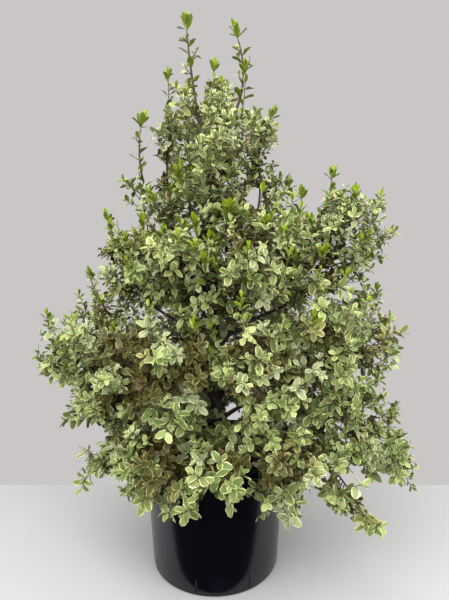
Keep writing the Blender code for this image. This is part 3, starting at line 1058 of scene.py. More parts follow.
# The sprigs and shoots of each mass, in the order in which they grow.
SPRIGS: dict[str, tuple[Sprig, ...]] = {
    "crown_left": (
        Shoot(-92, 0.086, 0.908, 0.105, 83), Sprig(-62, 0.1, 0.68, 0.055, 45),
        Shoot(-39, 0.146, 0.671, 0.04, 50),
    ),
    "crown_front": (
        Shoot(-10, 0.012, 0.918, 0.085, 90), Shoot(-75, 0.052, 0.872, 0.06, 84),
        Sprig(-37, 0.05, 0.66, 0.05, 60), Sprig(0, 0.115, 0.655, 0.055, 30),
        Sprig(6, 0.105, 0.7, 0.055, 40), Shoot(-28, 0.116, 0.711, 0.04, 50),
        Shoot(10, 0.13, 0.653, 0.04, 48),
    ),
    "crown_right": (Shoot(80, 0.056, 0.918, 0.075, 84), Shoot(88, 0.1, 0.838, 0.06, 66)),
    "crown_back": (
        Shoot(170, 0.06, 0.915, 0.07, 84), Sprig(150, 0.12, 0.7, 0.06, 40),
        Sprig(-150, 0.12, 0.7, 0.06, 40),
    ),
    "high_right": (
        Shoot(89, 0.217, 0.728, 0.07, 79), Shoot(84, 0.16, 0.692, 0.065, 84),
        Shoot(92, 0.3, 0.662, 0.07, 63), Sprig(90, 0.318, 0.565, 0.08, 20),
        Sprig(74, 0.212, 0.64, 0.055, 40), Sprig(82, 0.262, 0.655, 0.055, 45),
        Shoot(49, 0.218, 0.584, 0.04, 45),
    ),
    "high_left": (
        Shoot(-90, 0.2, 0.65, 0.08, 70), Sprig(-90, 0.172, 0.716, 0.06, 40),
        Sprig(-82, 0.142, 0.668, 0.055, 50),
    ),
    "middle_left": (
        Shoot(-94, 0.24, 0.54, 0.08, 70), Sprig(-88, 0.243, 0.532, 0.065, 50),
        Sprig(-80, 0.185, 0.512, 0.06, 60), Sprig(-87, 0.322, 0.35, 0.06, -10),
        Sprig(-90, 0.205, 0.455, 0.055, 30), Sprig(-78, 0.262, 0.426, 0.06, 20),
        Sprig(-80, 0.3, 0.415, 0.055, 15),
    ),
    "high_right_back": (Shoot(130, 0.205, 0.735, 0.07, 73), Sprig(160, 0.19, 0.6, 0.06, 30)),
    "high_left_back": (Shoot(-145, 0.215, 0.715, 0.07, 73), Sprig(-118, 0.185, 0.62, 0.06, 30)),
    "middle_left_back": (
        Shoot(-150, 0.26, 0.56, 0.07, 68), Sprig(180, 0.225, 0.54, 0.065, 40),
        Sprig(-135, 0.24, 0.53, 0.065, 40),
    ),
    "middle_right_back": (
        Shoot(146, 0.285, 0.56, 0.07, 68), Sprig(128, 0.235, 0.545, 0.065, 40),
        Sprig(155, 0.23, 0.54, 0.065, 40),
    ),
    "skirt_left": (
        Sprig(-84, 0.28, 0.285, 0.06, -5), Sprig(-79, 0.252, 0.172, 0.06, -35),
        Sprig(-79, 0.238, 0.238, 0.06, -10),
    ),
    "middle_right": (
        Sprig(84, 0.29, 0.512, 0.06, 40), Sprig(82, 0.34, 0.435, 0.06, 20),
        Sprig(83, 0.338, 0.39, 0.055, 5), Sprig(68, 0.245, 0.448, 0.06, 15),
        Sprig(76, 0.272, 0.436, 0.06, 15),
    ),
    "skirt_right": (
        Sprig(79, 0.305, 0.362, 0.05, 10), Sprig(82, 0.366, 0.175, 0.06, -30),
        Sprig(72, 0.268, 0.302, 0.06, 0), Sprig(84, 0.335, 0.29, 0.055, 5),
    ),
    "high_front_left": (
        Sprig(-10, 0.165, 0.53, 0.065, 20), Sprig(-34, 0.155, 0.53, 0.06, 20),
        Shoot(-10, 0.15, 0.63, 0.04, 45), Shoot(-4, 0.17, 0.573, 0.04, 45),
    ),
    "high_front_right": (
        Sprig(40, 0.18, 0.515, 0.06, 20), Sprig(6, 0.155, 0.522, 0.055, 15),
        Sprig(60, 0.205, 0.59, 0.06, 35), Sprig(18, 0.142, 0.652, 0.055, 35),
        Shoot(30, 0.158, 0.63, 0.04, 45), Shoot(17, 0.17, 0.586, 0.04, 45),
        Shoot(33, 0.205, 0.55, 0.04, 45),
    ),
    "middle_right_front": (Sprig(52, 0.225, 0.44, 0.06, 15),),
    "middle_front_right": (
        Sprig(33, 0.24, 0.355, 0.055, 0), Sprig(5, 0.14, 0.372, 0.05, 10),
        Sprig(24, 0.228, 0.412, 0.055, 5), Shoot(16, 0.186, 0.538, 0.04, 45),
    ),
    "skirt_left_front": (Sprig(-45, 0.205, 0.335, 0.06, 5), Sprig(-60, 0.218, 0.235, 0.055, -20)),
    "skirt_front_left": (
        Sprig(-16, 0.19, 0.325, 0.055, 10), Sprig(-17, 0.212, 0.19, 0.055, -62),
        Sprig(-10, 0.19, 0.338, 0.055, 15),
    ),
    "skirt_front_right": (
        Sprig(24, 0.222, 0.308, 0.055, -5), Sprig(24, 0.208, 0.19, 0.055, -62),
        Sprig(46, 0.238, 0.33, 0.06, 0), Sprig(28, 0.23, 0.275, 0.055, -15),
    ),
    "skirt_front": (Sprig(8, 0.2, 0.205, 0.04, -65), Sprig(2, 0.15, 0.292, 0.05, 10)),
    "middle_front_left": (Sprig(-5, 0.152, 0.498, 0.06, 15), Sprig(-19, 0.168, 0.478, 0.06, 15)),
    "middle_left_front": (Sprig(-38, 0.145, 0.508, 0.055, 15),),
}


@dataclass(frozen=True)
class Opening:
    """A straight opening into or through the crown, where the photograph shows what is behind."""

    front: Spot
    back: Spot
    radius: float

    def holds(self, point: Vector) -> bool:
        """Tell whether a point is in the opening.

        Args:
            point: The point.

        Returns:
            Whether it is.
        """
        start = Vector(self.front)
        along = Vector(self.back) - start
        share = min(max((point - start).dot(along) / along.length_squared, 0.0), 1.0)
        return (point - start - along * share).length < self.radius


OPENINGS = (
    Opening((0.027, -0.322, 0.4), (0.038, 0.32, 0.18), 0.015),
    Opening((0.067, -0.147, 0.683), (0.091, 0.208, 0.733), 0.015),
    Opening((0.208, -0.33, 0.292), (0.435, 0.3, -0.055), 0.024),
    Opening((-0.139, -0.33, 0.375), (-0.325, 0.3, 0.128), 0.018),
    Opening((-0.06, -0.33, 0.69), (-0.152, 0.3, 0.82), 0.015),
    Opening((-0.131, -0.33, 0.613), (-0.308, 0.3, 0.648), 0.02),
    Opening((0.001, -0.33, 0.282), (-0.003, -0.15, 0.176), 0.02),
    Opening((0.05, -0.33, 0.286), (0.06, -0.15, 0.182), 0.012),
    Opening((0.022, -0.33, 0.499), (0.024, -0.13, 0.467), 0.02),
)


@dataclass
class Limb:
    """A limb or twig: the middle and the radius of each of its rings, and whether its bark is young."""

    points: list[Vector]
    radii: list[float]
    young: bool = False


@dataclass(frozen=True)
class Trunk:
    """The trunk: its path from the mix to the tip that carries the left leader, and its radii."""

    path: tuple[Spot, ...] = (
        (0.004, 0, 0.1963),
        (-0.004, -0.003, 0.44),
        (0.004, 0.002, 0.68),
        (-0.034, 0, 0.87),
    )
    radius: float = 0.0115
    tip_radius: float = 0.0032
    flare: float = 0.005
    flare_height: float = 0.012
    solid_rings: int = 12
    solid_sides: int = 10
    ring_crowding: float = 1.5
    halvings: int = 30
    rings: int = 170
    sides: int = 30
    relief: float = 0.0011
    relief_scale: float = 240.0

    @property
    def controls(self) -> Controls:
        """Return the control points of the trunk's curve."""
        return tuple(Vector(point) for point in self.path)

    def radius_at(self, height: float) -> float:
        """Find the radius at a height: a taper with a root flare at its foot.

        Args:
            height: The height.

        Returns:
            The radius.
        """
        foot = self.path[0][2]
        share = (height - foot) / (self.path[-1][2] - foot)
        flare = self.flare * math.exp(-(height - foot) / self.flare_height)
        return self.radius + (self.tip_radius - self.radius) * share + flare

    def point_at(self, height: float) -> Vector:
        """Find the middle of the trunk at a height, by halving the curve's share.

        Args:
            height: The height.

        Returns:
            The point.
        """
        low, high = 0.0, 1.0
        for _ in range(self.halvings):
            share = (low + high) / 2
            if curve(self.controls, share).z < height:
                low = share
            else:
                high = share
        return curve(self.controls, (low + high) / 2)

    def limb(self, rings: int, extra: float = 0.0) -> Limb:
        """Make the trunk as a limb, with its rings closer together towards its foot.

        Args:
            rings: How many rings.
            extra: Metres added to its radius.

        Returns:
            The limb.
        """
        shares = ((step / (rings - 1)) ** self.ring_crowding for step in range(rings))
        points = [curve(self.controls, share) for share in shares]
        return Limb(points, [self.radius_at(point.z) + extra for point in points])

    def solid_shape(self, extra: float) -> Shape:
        """Return the solid trunk's vertices and faces, with extra metres on its radius."""
        limb = self.limb(self.solid_rings, extra)
        return tube(limb.points, limb.radii, self.solid_sides)


@dataclass(frozen=True)
class Boughs:
    """The main boughs: each one tapering limb from the trunk to the place where its mass begins."""

    trunk: Trunk
    radius: float = 0.0048
    tip_radius: float = 0.003
    solid_rings: int = 5
    solid_sides: int = 5
    arch: float = 0.12
    rings: int = 40
    sides: int = 12
    collar: float = 0.0022
    collar_length: float = 0.01
    relief: float = 0.0006
    relief_scale: float = 320.0

    def controls(self, mass: Mass) -> Controls:
        """Find the control points of a mass's bough.

        Args:
            mass: The mass.

        Returns:
            The control points.
        """
        start = self.trunk.point_at(mass.fork)
        end = place(mass.turn, *mass.entry)
        bend = start.lerp(end, 0.5) + UP * self.arch * (end - start).length
        return start, bend, end

    def solid_shape(self, mass: Mass, extra: float) -> Shape:
        """Return a solid bough's vertices and faces, with extra metres on its radius."""
        radii = taper(self.radius + extra, self.tip_radius + extra, self.solid_rings)
        return tube(course(self.controls(mass), self.solid_rings), radii, self.solid_sides)

    def limb(self, mass: Mass) -> Limb:
        """Make a bough as a limb with many rings, thicker in a collar where it leaves the trunk.

        Args:
            mass: The mass that it carries.

        Returns:
            The limb.
        """
        points = course(self.controls(mass), self.rings)
        surface = self.trunk.radius_at(mass.fork)
        radii = []
        for point, radius in zip(points, taper(self.radius, self.tip_radius, self.rings)):
            out = max((point - points[0]).length - surface, 0.0)
            radii.append(radius + self.collar * math.exp(-out / self.collar_length))
        return Limb(points, radii)


class Space:
    """The room of one mass: a long round body, cut by a plane towards each neighbour it would meet."""

    end_room = 1.16
    margin = 0.0012
    least_approach = 1e-6

    def __init__(self, mass: Mass, stem: Controls) -> None:
        """Set the body of a mass.

        Args:
            mass: The mass.
            stem: The control points of its stem.
        """
        start = stem[0]
        self.middle = start.lerp(mass.end, 0.5) + (curve(stem, 0.5) - stem[0].lerp(stem[-1], 0.5))
        self.axis = (mass.end - start).normalized()
        self.half_length = (mass.end - start).length / 2 * self.end_room
        self.girth = mass.girth
        self.planes: list[tuple[Vector, Vector]] = []

    def extent(self, direction: Vector) -> float:
        """Return how far the uncut body reaches from its middle in a direction."""
        along = direction.dot(self.axis)
        return math.sqrt((self.half_length * along) ** 2 + self.girth**2 * (1 - along**2))

    def part_from(self, other: "Space") -> None:
        """Add the plane that keeps this space clear of another one.

        Args:
            other: The other space.
        """
        between_middles = other.middle - self.middle
        distance = between_middles.length
        direction = between_middles / distance
        own = self.extent(direction)
        others = other.extent(direction)
        if own + others > distance:
            limit = distance * own / (own + others) - self.margin
            self.planes.append((self.middle + direction * limit, direction))

    def squash(self, vector: Vector) -> Vector:
        """Return a vector in the shape where the body is a ball of radius one."""
        along = vector.dot(self.axis)
        return self.axis * along / self.half_length + (vector - self.axis * along) / self.girth

    def depth(self, point: Vector) -> float:
        """Return how far out a point lies: nought in the middle, one at the outside."""
        return self.squash(point - self.middle).length

    def holds(self, point: Vector, slack: float = 0.0) -> bool:
        """Tell whether a point lies in the space, or at most the slack beyond its planes."""
        inside = self.depth(point) <= 1 + slack / self.girth
        return inside and all((point - foot).dot(direction) < slack for foot, direction in self.planes)

    def room(self, point: Vector, direction: Vector) -> float:
        """Measure how far one can go from a point of the space before leaving it.

        Args:
            point: The point.
            direction: The direction to go in.

        Returns:
            The distance.
        """
        start = self.squash(point - self.middle)
        step = self.squash(direction)
        half = start.dot(step)
        square = step.length_squared
        reach = (-half + math.sqrt(max(half**2 - square * (start.length_squared - 1), 0))) / square
        for foot, normal in self.planes:
            approach = direction.dot(normal)
            if approach > self.least_approach:
                reach = min(reach, (foot - point).dot(normal) / approach)
        return max(reach, 0)


@dataclass(frozen=True)
class Rule:
    """The growth rule of the solids: how stems, twigs and sprays follow each other. Leans are degrees."""

    seed: int = 1204
    gap: float = 0.0003
    limb_room: float = 0.0008
    golden_angle: float = math.radians(137.5)
    stem_bend: float = 0.4
    last_leaf_share: float = 0.75
    stem_radius: float = 0.0026
    stem_tip_radius: float = 0.0012
    stem_bare_share: float = 0.7
    twig_radius: float = 0.0013
    twig_tip_radius: float = 0.0009
    twig_bend: float = 0.25
    twig_bare_share: float = 0.45
    twig_step: float = 0.043
    twig_fewest: int = 4
    twig_start: float = 0.1
    twig_offset: float = 0.4
    twig_turn_spread: float = 0.5
    twig_lean: Pair = (72, 40)
    twig_rise: float = 0.25
    twig_room: float = 0.55
    twig_longest: float = 0.08
    twig_spread: float = 0.12
    spray_step: float = 0.04
    spray_offset: float = 0.5
    spray_lean: float = 58
    tip_leans: tuple[float, ...] = (60, 54, 32)
    tip_step: float = 0.0035
    spray_turn_spread: float = 0.6
    spray_tilt: float = 0.25
    spray_length: float = 0.092
    spray_girth_share: float = 0.95
    spray_spread: float = 0.12


@dataclass(frozen=True)
class FineRule:
    """How the rule is carried on: each spray gets side shoots, and each shoot a rosette of single leaves.

    A pair holds the ends between which a size or a lean is drawn, or runs from foot to tip. The shade is
    the greatest chance of a shaded leaf, and how fast it falls with depth, height and reach. A slack is
    how far leaves may stand out of their mass's space.
    """

    seed: int = 5000
    slack: float = 0.007
    young_slack: float = 0.022
    free_slack: float = 0.3
    limb_room: float = 0.002
    stem_rings: int = 16
    stem_overlap: float = 0.006
    twig_rings: int = 7
    twig_sides: int = 4

    # Sprays and their side shoots.
    stalk_rings: int = 5
    stalk_share: float = 0.74
    stalk_bend: float = 0.4
    stalk_rise: float = 0.1
    stalk_radius: float = 0.001
    upward: float = 0.35
    tilt_share: float = 0.3
    tint_share: float = 0.6
    spray_shares: tuple[float, ...] = (1.0, 0.75, 0.55)
    spray_shortest: float = 0.018
    shoot_step: float = 0.016
    shoot_offsets: Pair = (0.7, 0.4)
    shoot_lean: float = 54
    shoot_share: Pair = (0.36, 0.2)
    shoot_spread: float = 0.25
    shoot_rise: float = 0.3
    shoot_sag: float = 0.06
    shoot_radius: float = 0.0007
    tip_radius: float = 0.00045

    # Rosettes and their leaves.
    rosette_leaves: tuple[int, int] = (5, 8)
    rosette_leans: Pair = (84, 34)
    rosette_step: float = 0.003
    bud_leaves: int = 3
    bud_length: Pair = (0.014, 0.019)
    leaf_length: Pair = (0.015, 0.027)
    leaf_shrink: Pair = (1.06, 0.3)
    leaf_lengths: Pair = (0.85, 1.1)
    leaf_leans: Pair = (-9, 9)
    inner_leaf_share: float = 0.7
    inner_leaves: float = 0.55
    leaf_tilt: float = 0.38
    leaf_rise: float = 0.75

    # Colours.
    shade: tuple[float, float, float, float] = (1.06, 1.1, 1.6, 1.8)
    shade_floor: float = 0.5
    shade_reach: float = 0.16
    # Heights where the paler high weights, partly painted light, take over.
    high: Pair = (0.42, 0.7)
    brown_share: float = 0.1
    same_tint_share: float = 0.5
    inner_pale_share: float = 0.18

    # Upright young shoots.
    young_leaves: tuple[int, int] = (5, 7)
    young_leans: Pair = (66, 12)
    young_length: Pair = (0.015, 0.022)
    young_stalk: Pair = (0.012, 0.03)
    young_share: float = 0.75
    young_middle: float = 0.59
    young_reach: float = 0.19
    young_depth: float = 0.45
    young_forward: float = 0.4

    # Leaders and the shoots that stand out.
    leader_step: float = 0.0115
    leader_twig_share: float = 0.6
    leader_start: float = 0.12
    leader_lean: float = 50
    leader_leans: Pair = (-14, 14)
    leader_rise: float = 0.02
    leader_length: Pair = (0.017, 0.025)
    leader_tip_leaf: float = 0.029
    sprig_tip_leaf: float = 0.022
    sprig_rings: int = 6
    sprig_sag: float = 0.08
    sprig_bow: float = 0.06
    low_ring_drop: float = 0.005
    low_ring_share: float = 0.9
    ring_leaves: tuple[int, int] = (4, 6)
    low_ring_leans: Pair = (62, 40)
    top_ring_leans: Pair = (34, 8)

    # Sprays on the boughs and inside the masses.
    trunk_bare_share: float = 0.22
    bough_bare_share: float = 0.35
    bough_step: float = 0.017
    bough_forward: float = 0.4
    bough_turns: Pair = (0, 1)
    inner_step: float = 0.012
    inner_forward: float = 0.5
    inner_rise: float = 0.2
    inner_turns: Pair = (0, 1.5)
    inner_spray: Pair = (0.045, 0.08)
    inner_shoot: Pair = (0.014, 0.034)


RULE = Rule()
FINE = FineRule()


# Leaves.


@dataclass
class Leaf:
    """One leaf: where its stalk begins, how it is turned, its length, its form and its tint."""

    foot: Vector
    turn: Quaternion
    length: float
    form: int
    tint: Tint


@dataclass(frozen=True)
class LeafForm:
    """The shape of a leaf, as shares of its length.

    The fold lifts the two halves, the curl bends the tip down where it is negative, and the wave ripples
    the rim. The shifts set the ripples of one side apart from those of the other.
    """

    width: float
    fold: float
    curl: float
    wave: float
    ripples: float
    phase: float
    wave_shift: float = 1.7
    stations: tuple[float, ...] = (0.15, 0.5, 0.86)
    margin: float = 0.25
    margin_change: float = 0.17
    margin_ripples: float = 0.6
    margin_shift: float = 2.1
    widest: float = 1.22
    fullness: float = 0.62

    def half_width(self, share: float) -> float:
        """Return half the leaf's width at a share of its length."""
        return self.width / 2 * math.sin(math.pi * share**self.widest) ** self.fullness

    def margin_foot(self, share: float, side: int) -> float:
        """Find where the pale margin begins, which wanders along the leaf.

        Args:
            share: The share of the leaf's length.
            side: Nought on the left, one on the right.

        Returns:
            The share of the half width.
        """
        turn = 2 * math.pi * (self.ripples + self.margin_ripples) * share
        wander = math.sin(turn + 2 * self.phase + self.margin_shift * side)
        return 1 - self.margin + self.margin_change * wander

    def point(self, share: float, side: float) -> Vector:
        """Find a point of the leaf.

        Args:
            share: Its share of the leaf's length.
            side: Its share of the half width, negative on the left.

        Returns:
            The point.
        """
        half = self.half_width(share)
        shift = self.wave_shift if side < 0 else 0.0
        ripple = math.sin(2 * math.pi * self.ripples * share + self.phase + shift)
        height = self.fold * half * abs(side) + self.curl * share**2 + self.wave * side**2 * ripple
        return Vector((half * side, share, height))

    def mesh(self, name: str) -> Mesh:
        """Build the leaf's mesh, one metre long, with each face marked as its middle or its margin.

        Args:
            name: The mesh's name.

        Returns:
            The mesh.
        """
        count = 5
        vertices = [Vector((0, 0, 0))]
        for share in self.stations:
            sides = (-1.0, -self.margin_foot(share, 0), 0.0, self.margin_foot(share, 1), 1.0)
            vertices += [self.point(share, side) for side in sides]
        vertices.append(Vector((0, 1, self.curl)))
        top = len(vertices) - 1
        faces: list[Sequence[int]] = []
        zones: list[int] = []
        for step in range(count - 1):
            rows = [1 + ring * count + step for ring in range(len(self.stations))]
            faces.append((0, rows[0] + 1, rows[0]))
            faces += [(here, here + 1, here + 1 + count, here + count) for here in rows[:-1]]
            faces.append((rows[-1], rows[-1] + 1, top))
            zones += [int(step in (0, count - 2))] * (len(rows) + 1)
        mesh = mesh_of(name, (vertices, faces))
        mark(mesh, "zone", "INT", zones, "FACE")
        return mesh


MATURE_FORMS = (
    LeafForm(0.6, 0.22, -0.16, 0.055, 1.6, 0.4),
    LeafForm(0.55, 0.34, -0.08, 0.07, 2.0, 1.9),
    LeafForm(0.64, 0.12, -0.22, 0.06, 1.5, 3.1),
    LeafForm(0.52, 0.4, 0.06, 0.065, 1.9, 4.4),
    LeafForm(0.58, 0.18, -0.3, 0.075, 2.2, 5.3),
    LeafForm(0.62, 0.28, -0.02, 0.08, 1.4, 2.6),
)
YOUNG_FORMS = (
    LeafForm(0.5, 0.4, 0.02, 0.035, 1.4, 0.8),
    LeafForm(0.44, 0.5, 0.08, 0.03, 1.2, 2.4),
    LeafForm(0.54, 0.32, -0.06, 0.045, 1.7, 4.0),
)
LEAF_FORMS = MATURE_FORMS + YOUNG_FORMS
ANY_FORM = range(len(LEAF_FORMS))
MATURE_FORM = range(len(MATURE_FORMS))
YOUNG_FORM = range(len(MATURE_FORMS), len(LEAF_FORMS))


# The growth of the foliage.


class Barrier:
    """What leaves keep clear of: the trunk, the boughs and the pot, all a little fatter than they are."""

    pot_sides = 40

    def __init__(self, boughs: Boughs, pot: Pot, masses: Iterable[Mass]) -> None:
        """Gather the solids into one search tree.

        Args:
            boughs: The boughs, and with them the trunk.
            pot: The pot.
            masses: The masses that have a bough.
        """
        self.rim = pot.rim_radius + RULE.limb_room
        self.top = pot.height + RULE.limb_room
        shapes = [boughs.trunk.solid_shape(RULE.limb_room)]
        shapes += [boughs.solid_shape(mass, RULE.limb_room) for mass in masses]
        shapes.append(tube([Vector(), UP * self.top], [self.rim, self.rim], self.pot_sides))
        vertices: list[Vector] = []
        faces: list[Sequence[int]] = []
        for points, corners in shapes:
            faces += [[len(vertices) + corner for corner in face] for face in corners]
            vertices += points
        self.tree = BVHTree.FromPolygons(vertices, faces)

    def clears(self, point: Vector) -> bool:
        """Tell whether a point is outside the limbs, the pot and the openings, with room to spare.

        Args:
            point: The point.

        Returns:
            Whether it is.
        """
        if point.z < self.top and point.xy.length < self.rim:
            return False
        if any(opening.holds(point) for opening in OPENINGS):
            return False
        spot, normal, _, distance = self.tree.find_nearest(point)
        return distance > FINE.limb_room and (point - spot).dot(normal) > 0


class Growth:
    """One mass of foliage, grown by the solids' rule and carried on to single leaves."""

    def __init__(self, mass: Mass, boughs: Boughs, barrier: Barrier, index: int) -> None:
        """Set out the stem of a mass.

        Args:
            mass: The mass to grow.
            boughs: The boughs, which say where the stem starts.
            barrier: What the leaves keep clear of.
            index: The mass's place among the masses, which gives its seeds.
        """
        self.mass = mass
        self.boughs = boughs
        self.barrier = barrier
        self.coarse = random.Random(RULE.seed + index)
        self.fine = random.Random(FINE.seed + index)
        self.spray_length = min(RULE.spray_length, mass.girth * RULE.spray_girth_share)
        self.stem, self.arrival = self.stem_controls()
        self.space = Space(mass, self.stem)
        self.slack = FINE.slack
        self.limbs: list[Limb] = []
        self.leaves: list[Leaf] = []

    def stem_controls(self) -> tuple[Controls, Vector]:
        """Set the path of the mass's stem.

        Returns:
            Its control points and the direction in which it starts.
        """
        mass = self.mass
        trunk = self.boughs.trunk
        if mass.entry:
            if mass.tops_trunk:
                limb = course(trunk.controls, trunk.solid_rings)
            else:
                limb = course(self.boughs.controls(mass), self.boughs.solid_rings)
            arrival = (limb[-1] - limb[-2]).normalized()
            start = limb[-1] + arrival * RULE.gap
        else:
            arrival = place(mass.turn, 1, 1).normalized()
            start = trunk.point_at(mass.fork)
        way = mass.end - start
        tail = mass.end - way.normalized() * self.spray_length * RULE.last_leaf_share
        return (start, start + arrival * way.length * RULE.stem_bend, tail), arrival

    def spread(self, amount: float) -> float:
        """Return a number near one, at most the amount away from it, from the solids' own numbers."""
        return 1 + amount * (2 * self.coarse.random() - 1)

    def clear(self, point: Vector) -> bool:
        """Tell whether a point is in the mass's space and off the limbs and the pot."""
        return self.space.holds(point, self.slack) and self.barrier.clears(point)

    def add_limb(self, points: list[Vector], root: float, tip: float, young: bool = False) -> None:
        """Add a limb along these points, whose radius falls evenly from its root to its tip."""
        self.limbs.append(Limb(points, taper(root, tip, len(points)), young))

    def grow(self) -> None:
        """Grow the whole mass, with its stem starting inside its bough."""
        points = course(self.stem, FINE.stem_rings)
        radii = taper(RULE.stem_radius, RULE.stem_tip_radius, FINE.stem_rings)
        if self.mass.entry:
            points.insert(0, points[0] - self.arrival * FINE.stem_overlap)
            radii.insert(0, RULE.stem_radius)
        self.limbs.append(Limb(points, radii))
        self.grow_twigs()
        if self.mass.dense:
            self.set_sprays(self.stem, RULE.stem_bare_share, True)
            self.fill_inside(self.stem)
            self.set_young_shoots()
        else:
            self.slack = FINE.young_slack
            self.dress_leader(self.stem, FINE.leader_tip_leaf)
        self.slack = FINE.free_slack
        if self.mass.dense and self.mass.entry:
            self.dress_bough(self.boughs.controls(self.mass), FINE.bough_bare_share)
        if self.mass.name == "crown_front":
            self.dress_bough(self.boughs.trunk.controls, FINE.trunk_bare_share)
        for sprig in SPRIGS.get(self.mass.name, ()):
            self.add_sprig(sprig)

    def grow_twigs(self) -> None:
        """Grow side twigs round the stem, each with its sprays."""
        span = (self.mass.end - self.stem[0]).length
        count = max(round(span * (1 - RULE.twig_start) / RULE.twig_step), RULE.twig_fewest)
        for index in range(count):
            share = RULE.twig_start + (1 - RULE.twig_start) * (index + RULE.twig_offset) / count
            foot, along = along_curve(self.stem, share)
            turn = RULE.golden_angle * index + RULE.twig_turn_spread * self.coarse.random()
            length_share = RULE.twig_room * self.spread(RULE.twig_spread)
            side = beside(along, turn)
            heading = lean_out(along, side, between(RULE.twig_lean, share)) + UP * RULE.twig_rise
            heading.normalize()
            length = min(self.space.room(foot, heading) * length_share, RULE.twig_longest)
            if not self.mass.dense:
                length *= FINE.leader_twig_share
            twig = (foot, foot + (heading + side) * length * RULE.twig_bend, foot + heading * length)
            points = course(twig, FINE.twig_rings)
            grown = all(self.clear(point) for point in points[2:])
            if grown:
                self.add_limb(points, RULE.twig_radius, RULE.twig_tip_radius)
                if self.mass.dense:
                    self.fill_inside(twig)
            self.set_sprays(twig, RULE.twig_bare_share, grown)

    def set_sprays(self, twig: Controls, bare_share: float, grown: bool) -> None:
        """Set sprays along a twig, turn by turn, and a few more at its end.

        Args:
            twig: The control points of the twig or stem.
            bare_share: The share of it that has no sprays.
            grown: Whether the twig is there. If not, its random numbers are still drawn.
        """
        length = (twig[-1] - twig[0]).length
        leafy = length * (1 - bare_share)
        below = round(leafy / RULE.spray_step)
        leans = (RULE.spray_lean,) * below + RULE.tip_leans
        for index, lean in enumerate(leans):
            behind = RULE.tip_step * (len(leans) - index)
            if index < below:
                behind += (below - index) * leafy / (below + RULE.spray_offset)
            turn = RULE.golden_angle * index + RULE.spray_turn_spread * self.coarse.random()
            size = self.spray_length * self.spread(RULE.spray_spread)
            tilt = Vector([self.coarse.gauss(0, RULE.spray_tilt) for _ in range(3)])
            if not grown:
                continue
            share = 1 - behind / length
            foot = curve(twig, share)
            along = (foot - curve(twig, share - LOOK_ALONG)).normalized()
            heading = lean_out(along, beside(along, turn), lean)
            if self.mass.dense:
                self.grow_spray(foot, (heading + tilt * FINE.tilt_share).normalized(), size)
            elif index == len(leans) - 1:
                bud = self.fine.uniform(*FINE.bud_length)
                self.add_rosette(foot, along, self.pick_tint(foot), FINE.bud_leaves, bud)

    def pick_tint(self, point: Vector) -> Tint:
        """Pick a spray's tint: more shaded ones deep in the mass, low on the plant and near its axis.

        Args:
            point: Where the spray is.

        Returns:
            The tint.
        """
        most, by_depth, by_height, by_reach = FINE.shade
        chance = most - by_depth * self.space.depth(point)
        chance -= by_height * max(point.z - FINE.shade_floor, 0)
        chance -= by_reach * max(point.xy.length - FINE.shade_reach, 0)
        return Tint.SHADED if self.fine.random() < chance else self.pick_lit_tint(point)

    def pick_lit_tint(self, point: Vector) -> Tint:
        """Return a tint for leaves in the light; paler ones high up are partly sun-bleached, partly painted
        light.
        """
        weights = HIGH_WEIGHTS if self.fine.uniform(*FINE.high) < point.z else LOW_WEIGHTS
        return self.fine.choices(LIT_TINTS, weights)[0]

    def pick_rosette_tint(self, tint: Tint, point: Vector) -> Tint:
        """Pick a rosette's tint, which is often its spray's own. Some shaded ones are brown.

        Args:
            tint: The spray's tint.
            point: Where the rosette is.

        Returns:
            The tint.
        """
        if tint is Tint.SHADED and self.fine.random() < FINE.brown_share:
            return Tint.BROWN
        if tint not in LIT_TINTS or self.fine.random() < FINE.same_tint_share:
            return tint
        return self.pick_lit_tint(point)

    def grow_spray(self, foot: Vector, heading: Vector, size: float, lit: bool = False) -> None:
        """Grow one spray: a stalk with side shoots and a rosette at each end, as long as it keeps clear.

        Args:
            foot: Where the spray leaves its twig.
            heading: The direction that it grows in.
            size: The length of the solids' leaf that it stands for.
            lit: Whether it stands in the light wherever it is.
        """
        if not self.space.holds(foot, self.slack):
            return
        if not self.mass.hangs:
            heading = (heading + UP * FINE.upward).normalized()
        room = min(size, self.space.room(foot, heading) + self.slack)
        for share in FINE.spray_shares:
            reach = room * share
            end = foot + heading * reach * FINE.stalk_share + UP * reach * FINE.stalk_rise
            stalk = (foot, foot + heading * reach * FINE.stalk_bend, end)
            points = course(stalk, FINE.stalk_rings)
            if all(self.clear(point) for point in points[1:]):
                break
        else:
            return
        if reach < FINE.spray_shortest:
            return
        spot = foot + heading * reach * FINE.tint_share
        tint = self.pick_lit_tint(spot) if lit else self.pick_tint(spot)
        self.add_limb(points, FINE.stalk_radius, FINE.tip_radius, True)
        self.add_rosette(end, (points[-1] - points[-2]).normalized(), tint)
        count = max(round(reach / FINE.shoot_step) - 1, 1)
        start_turn = self.fine.uniform(0, 2 * math.pi)
        before, beyond = FINE.shoot_offsets
        for index in range(count):
            share = (index + before) / (count + beyond)
            spot, along = along_curve(stalk, share)
            side = beside(along, start_turn + RULE.golden_angle * index)
            way = (lean_out(along, side, FINE.shoot_lean) + UP * FINE.shoot_rise).normalized()
            length = reach * between(FINE.shoot_share, share)
            length *= self.fine.uniform(1 - FINE.shoot_spread, 1 + FINE.shoot_spread)
            self.add_shoot(spot, way, length, tint)

    def add_shoot(self, foot: Vector, way: Vector, length: float, tint: Tint) -> None:
        """Add a short side shoot with a rosette at its tip, if there is room for it.

        Args:
            foot: Where the shoot starts.
            way: The direction that it grows in.
            length: Its length.
            tint: The tint of its spray.
        """
        tip = foot + way * length
        if self.clear(tip):
            middle = foot.lerp(tip, 0.5) - UP * length * FINE.shoot_sag
            self.add_limb([foot, middle, tip], FINE.shoot_radius, FINE.tip_radius, True)
            self.add_rosette(tip, (tip - middle).normalized(), tint)

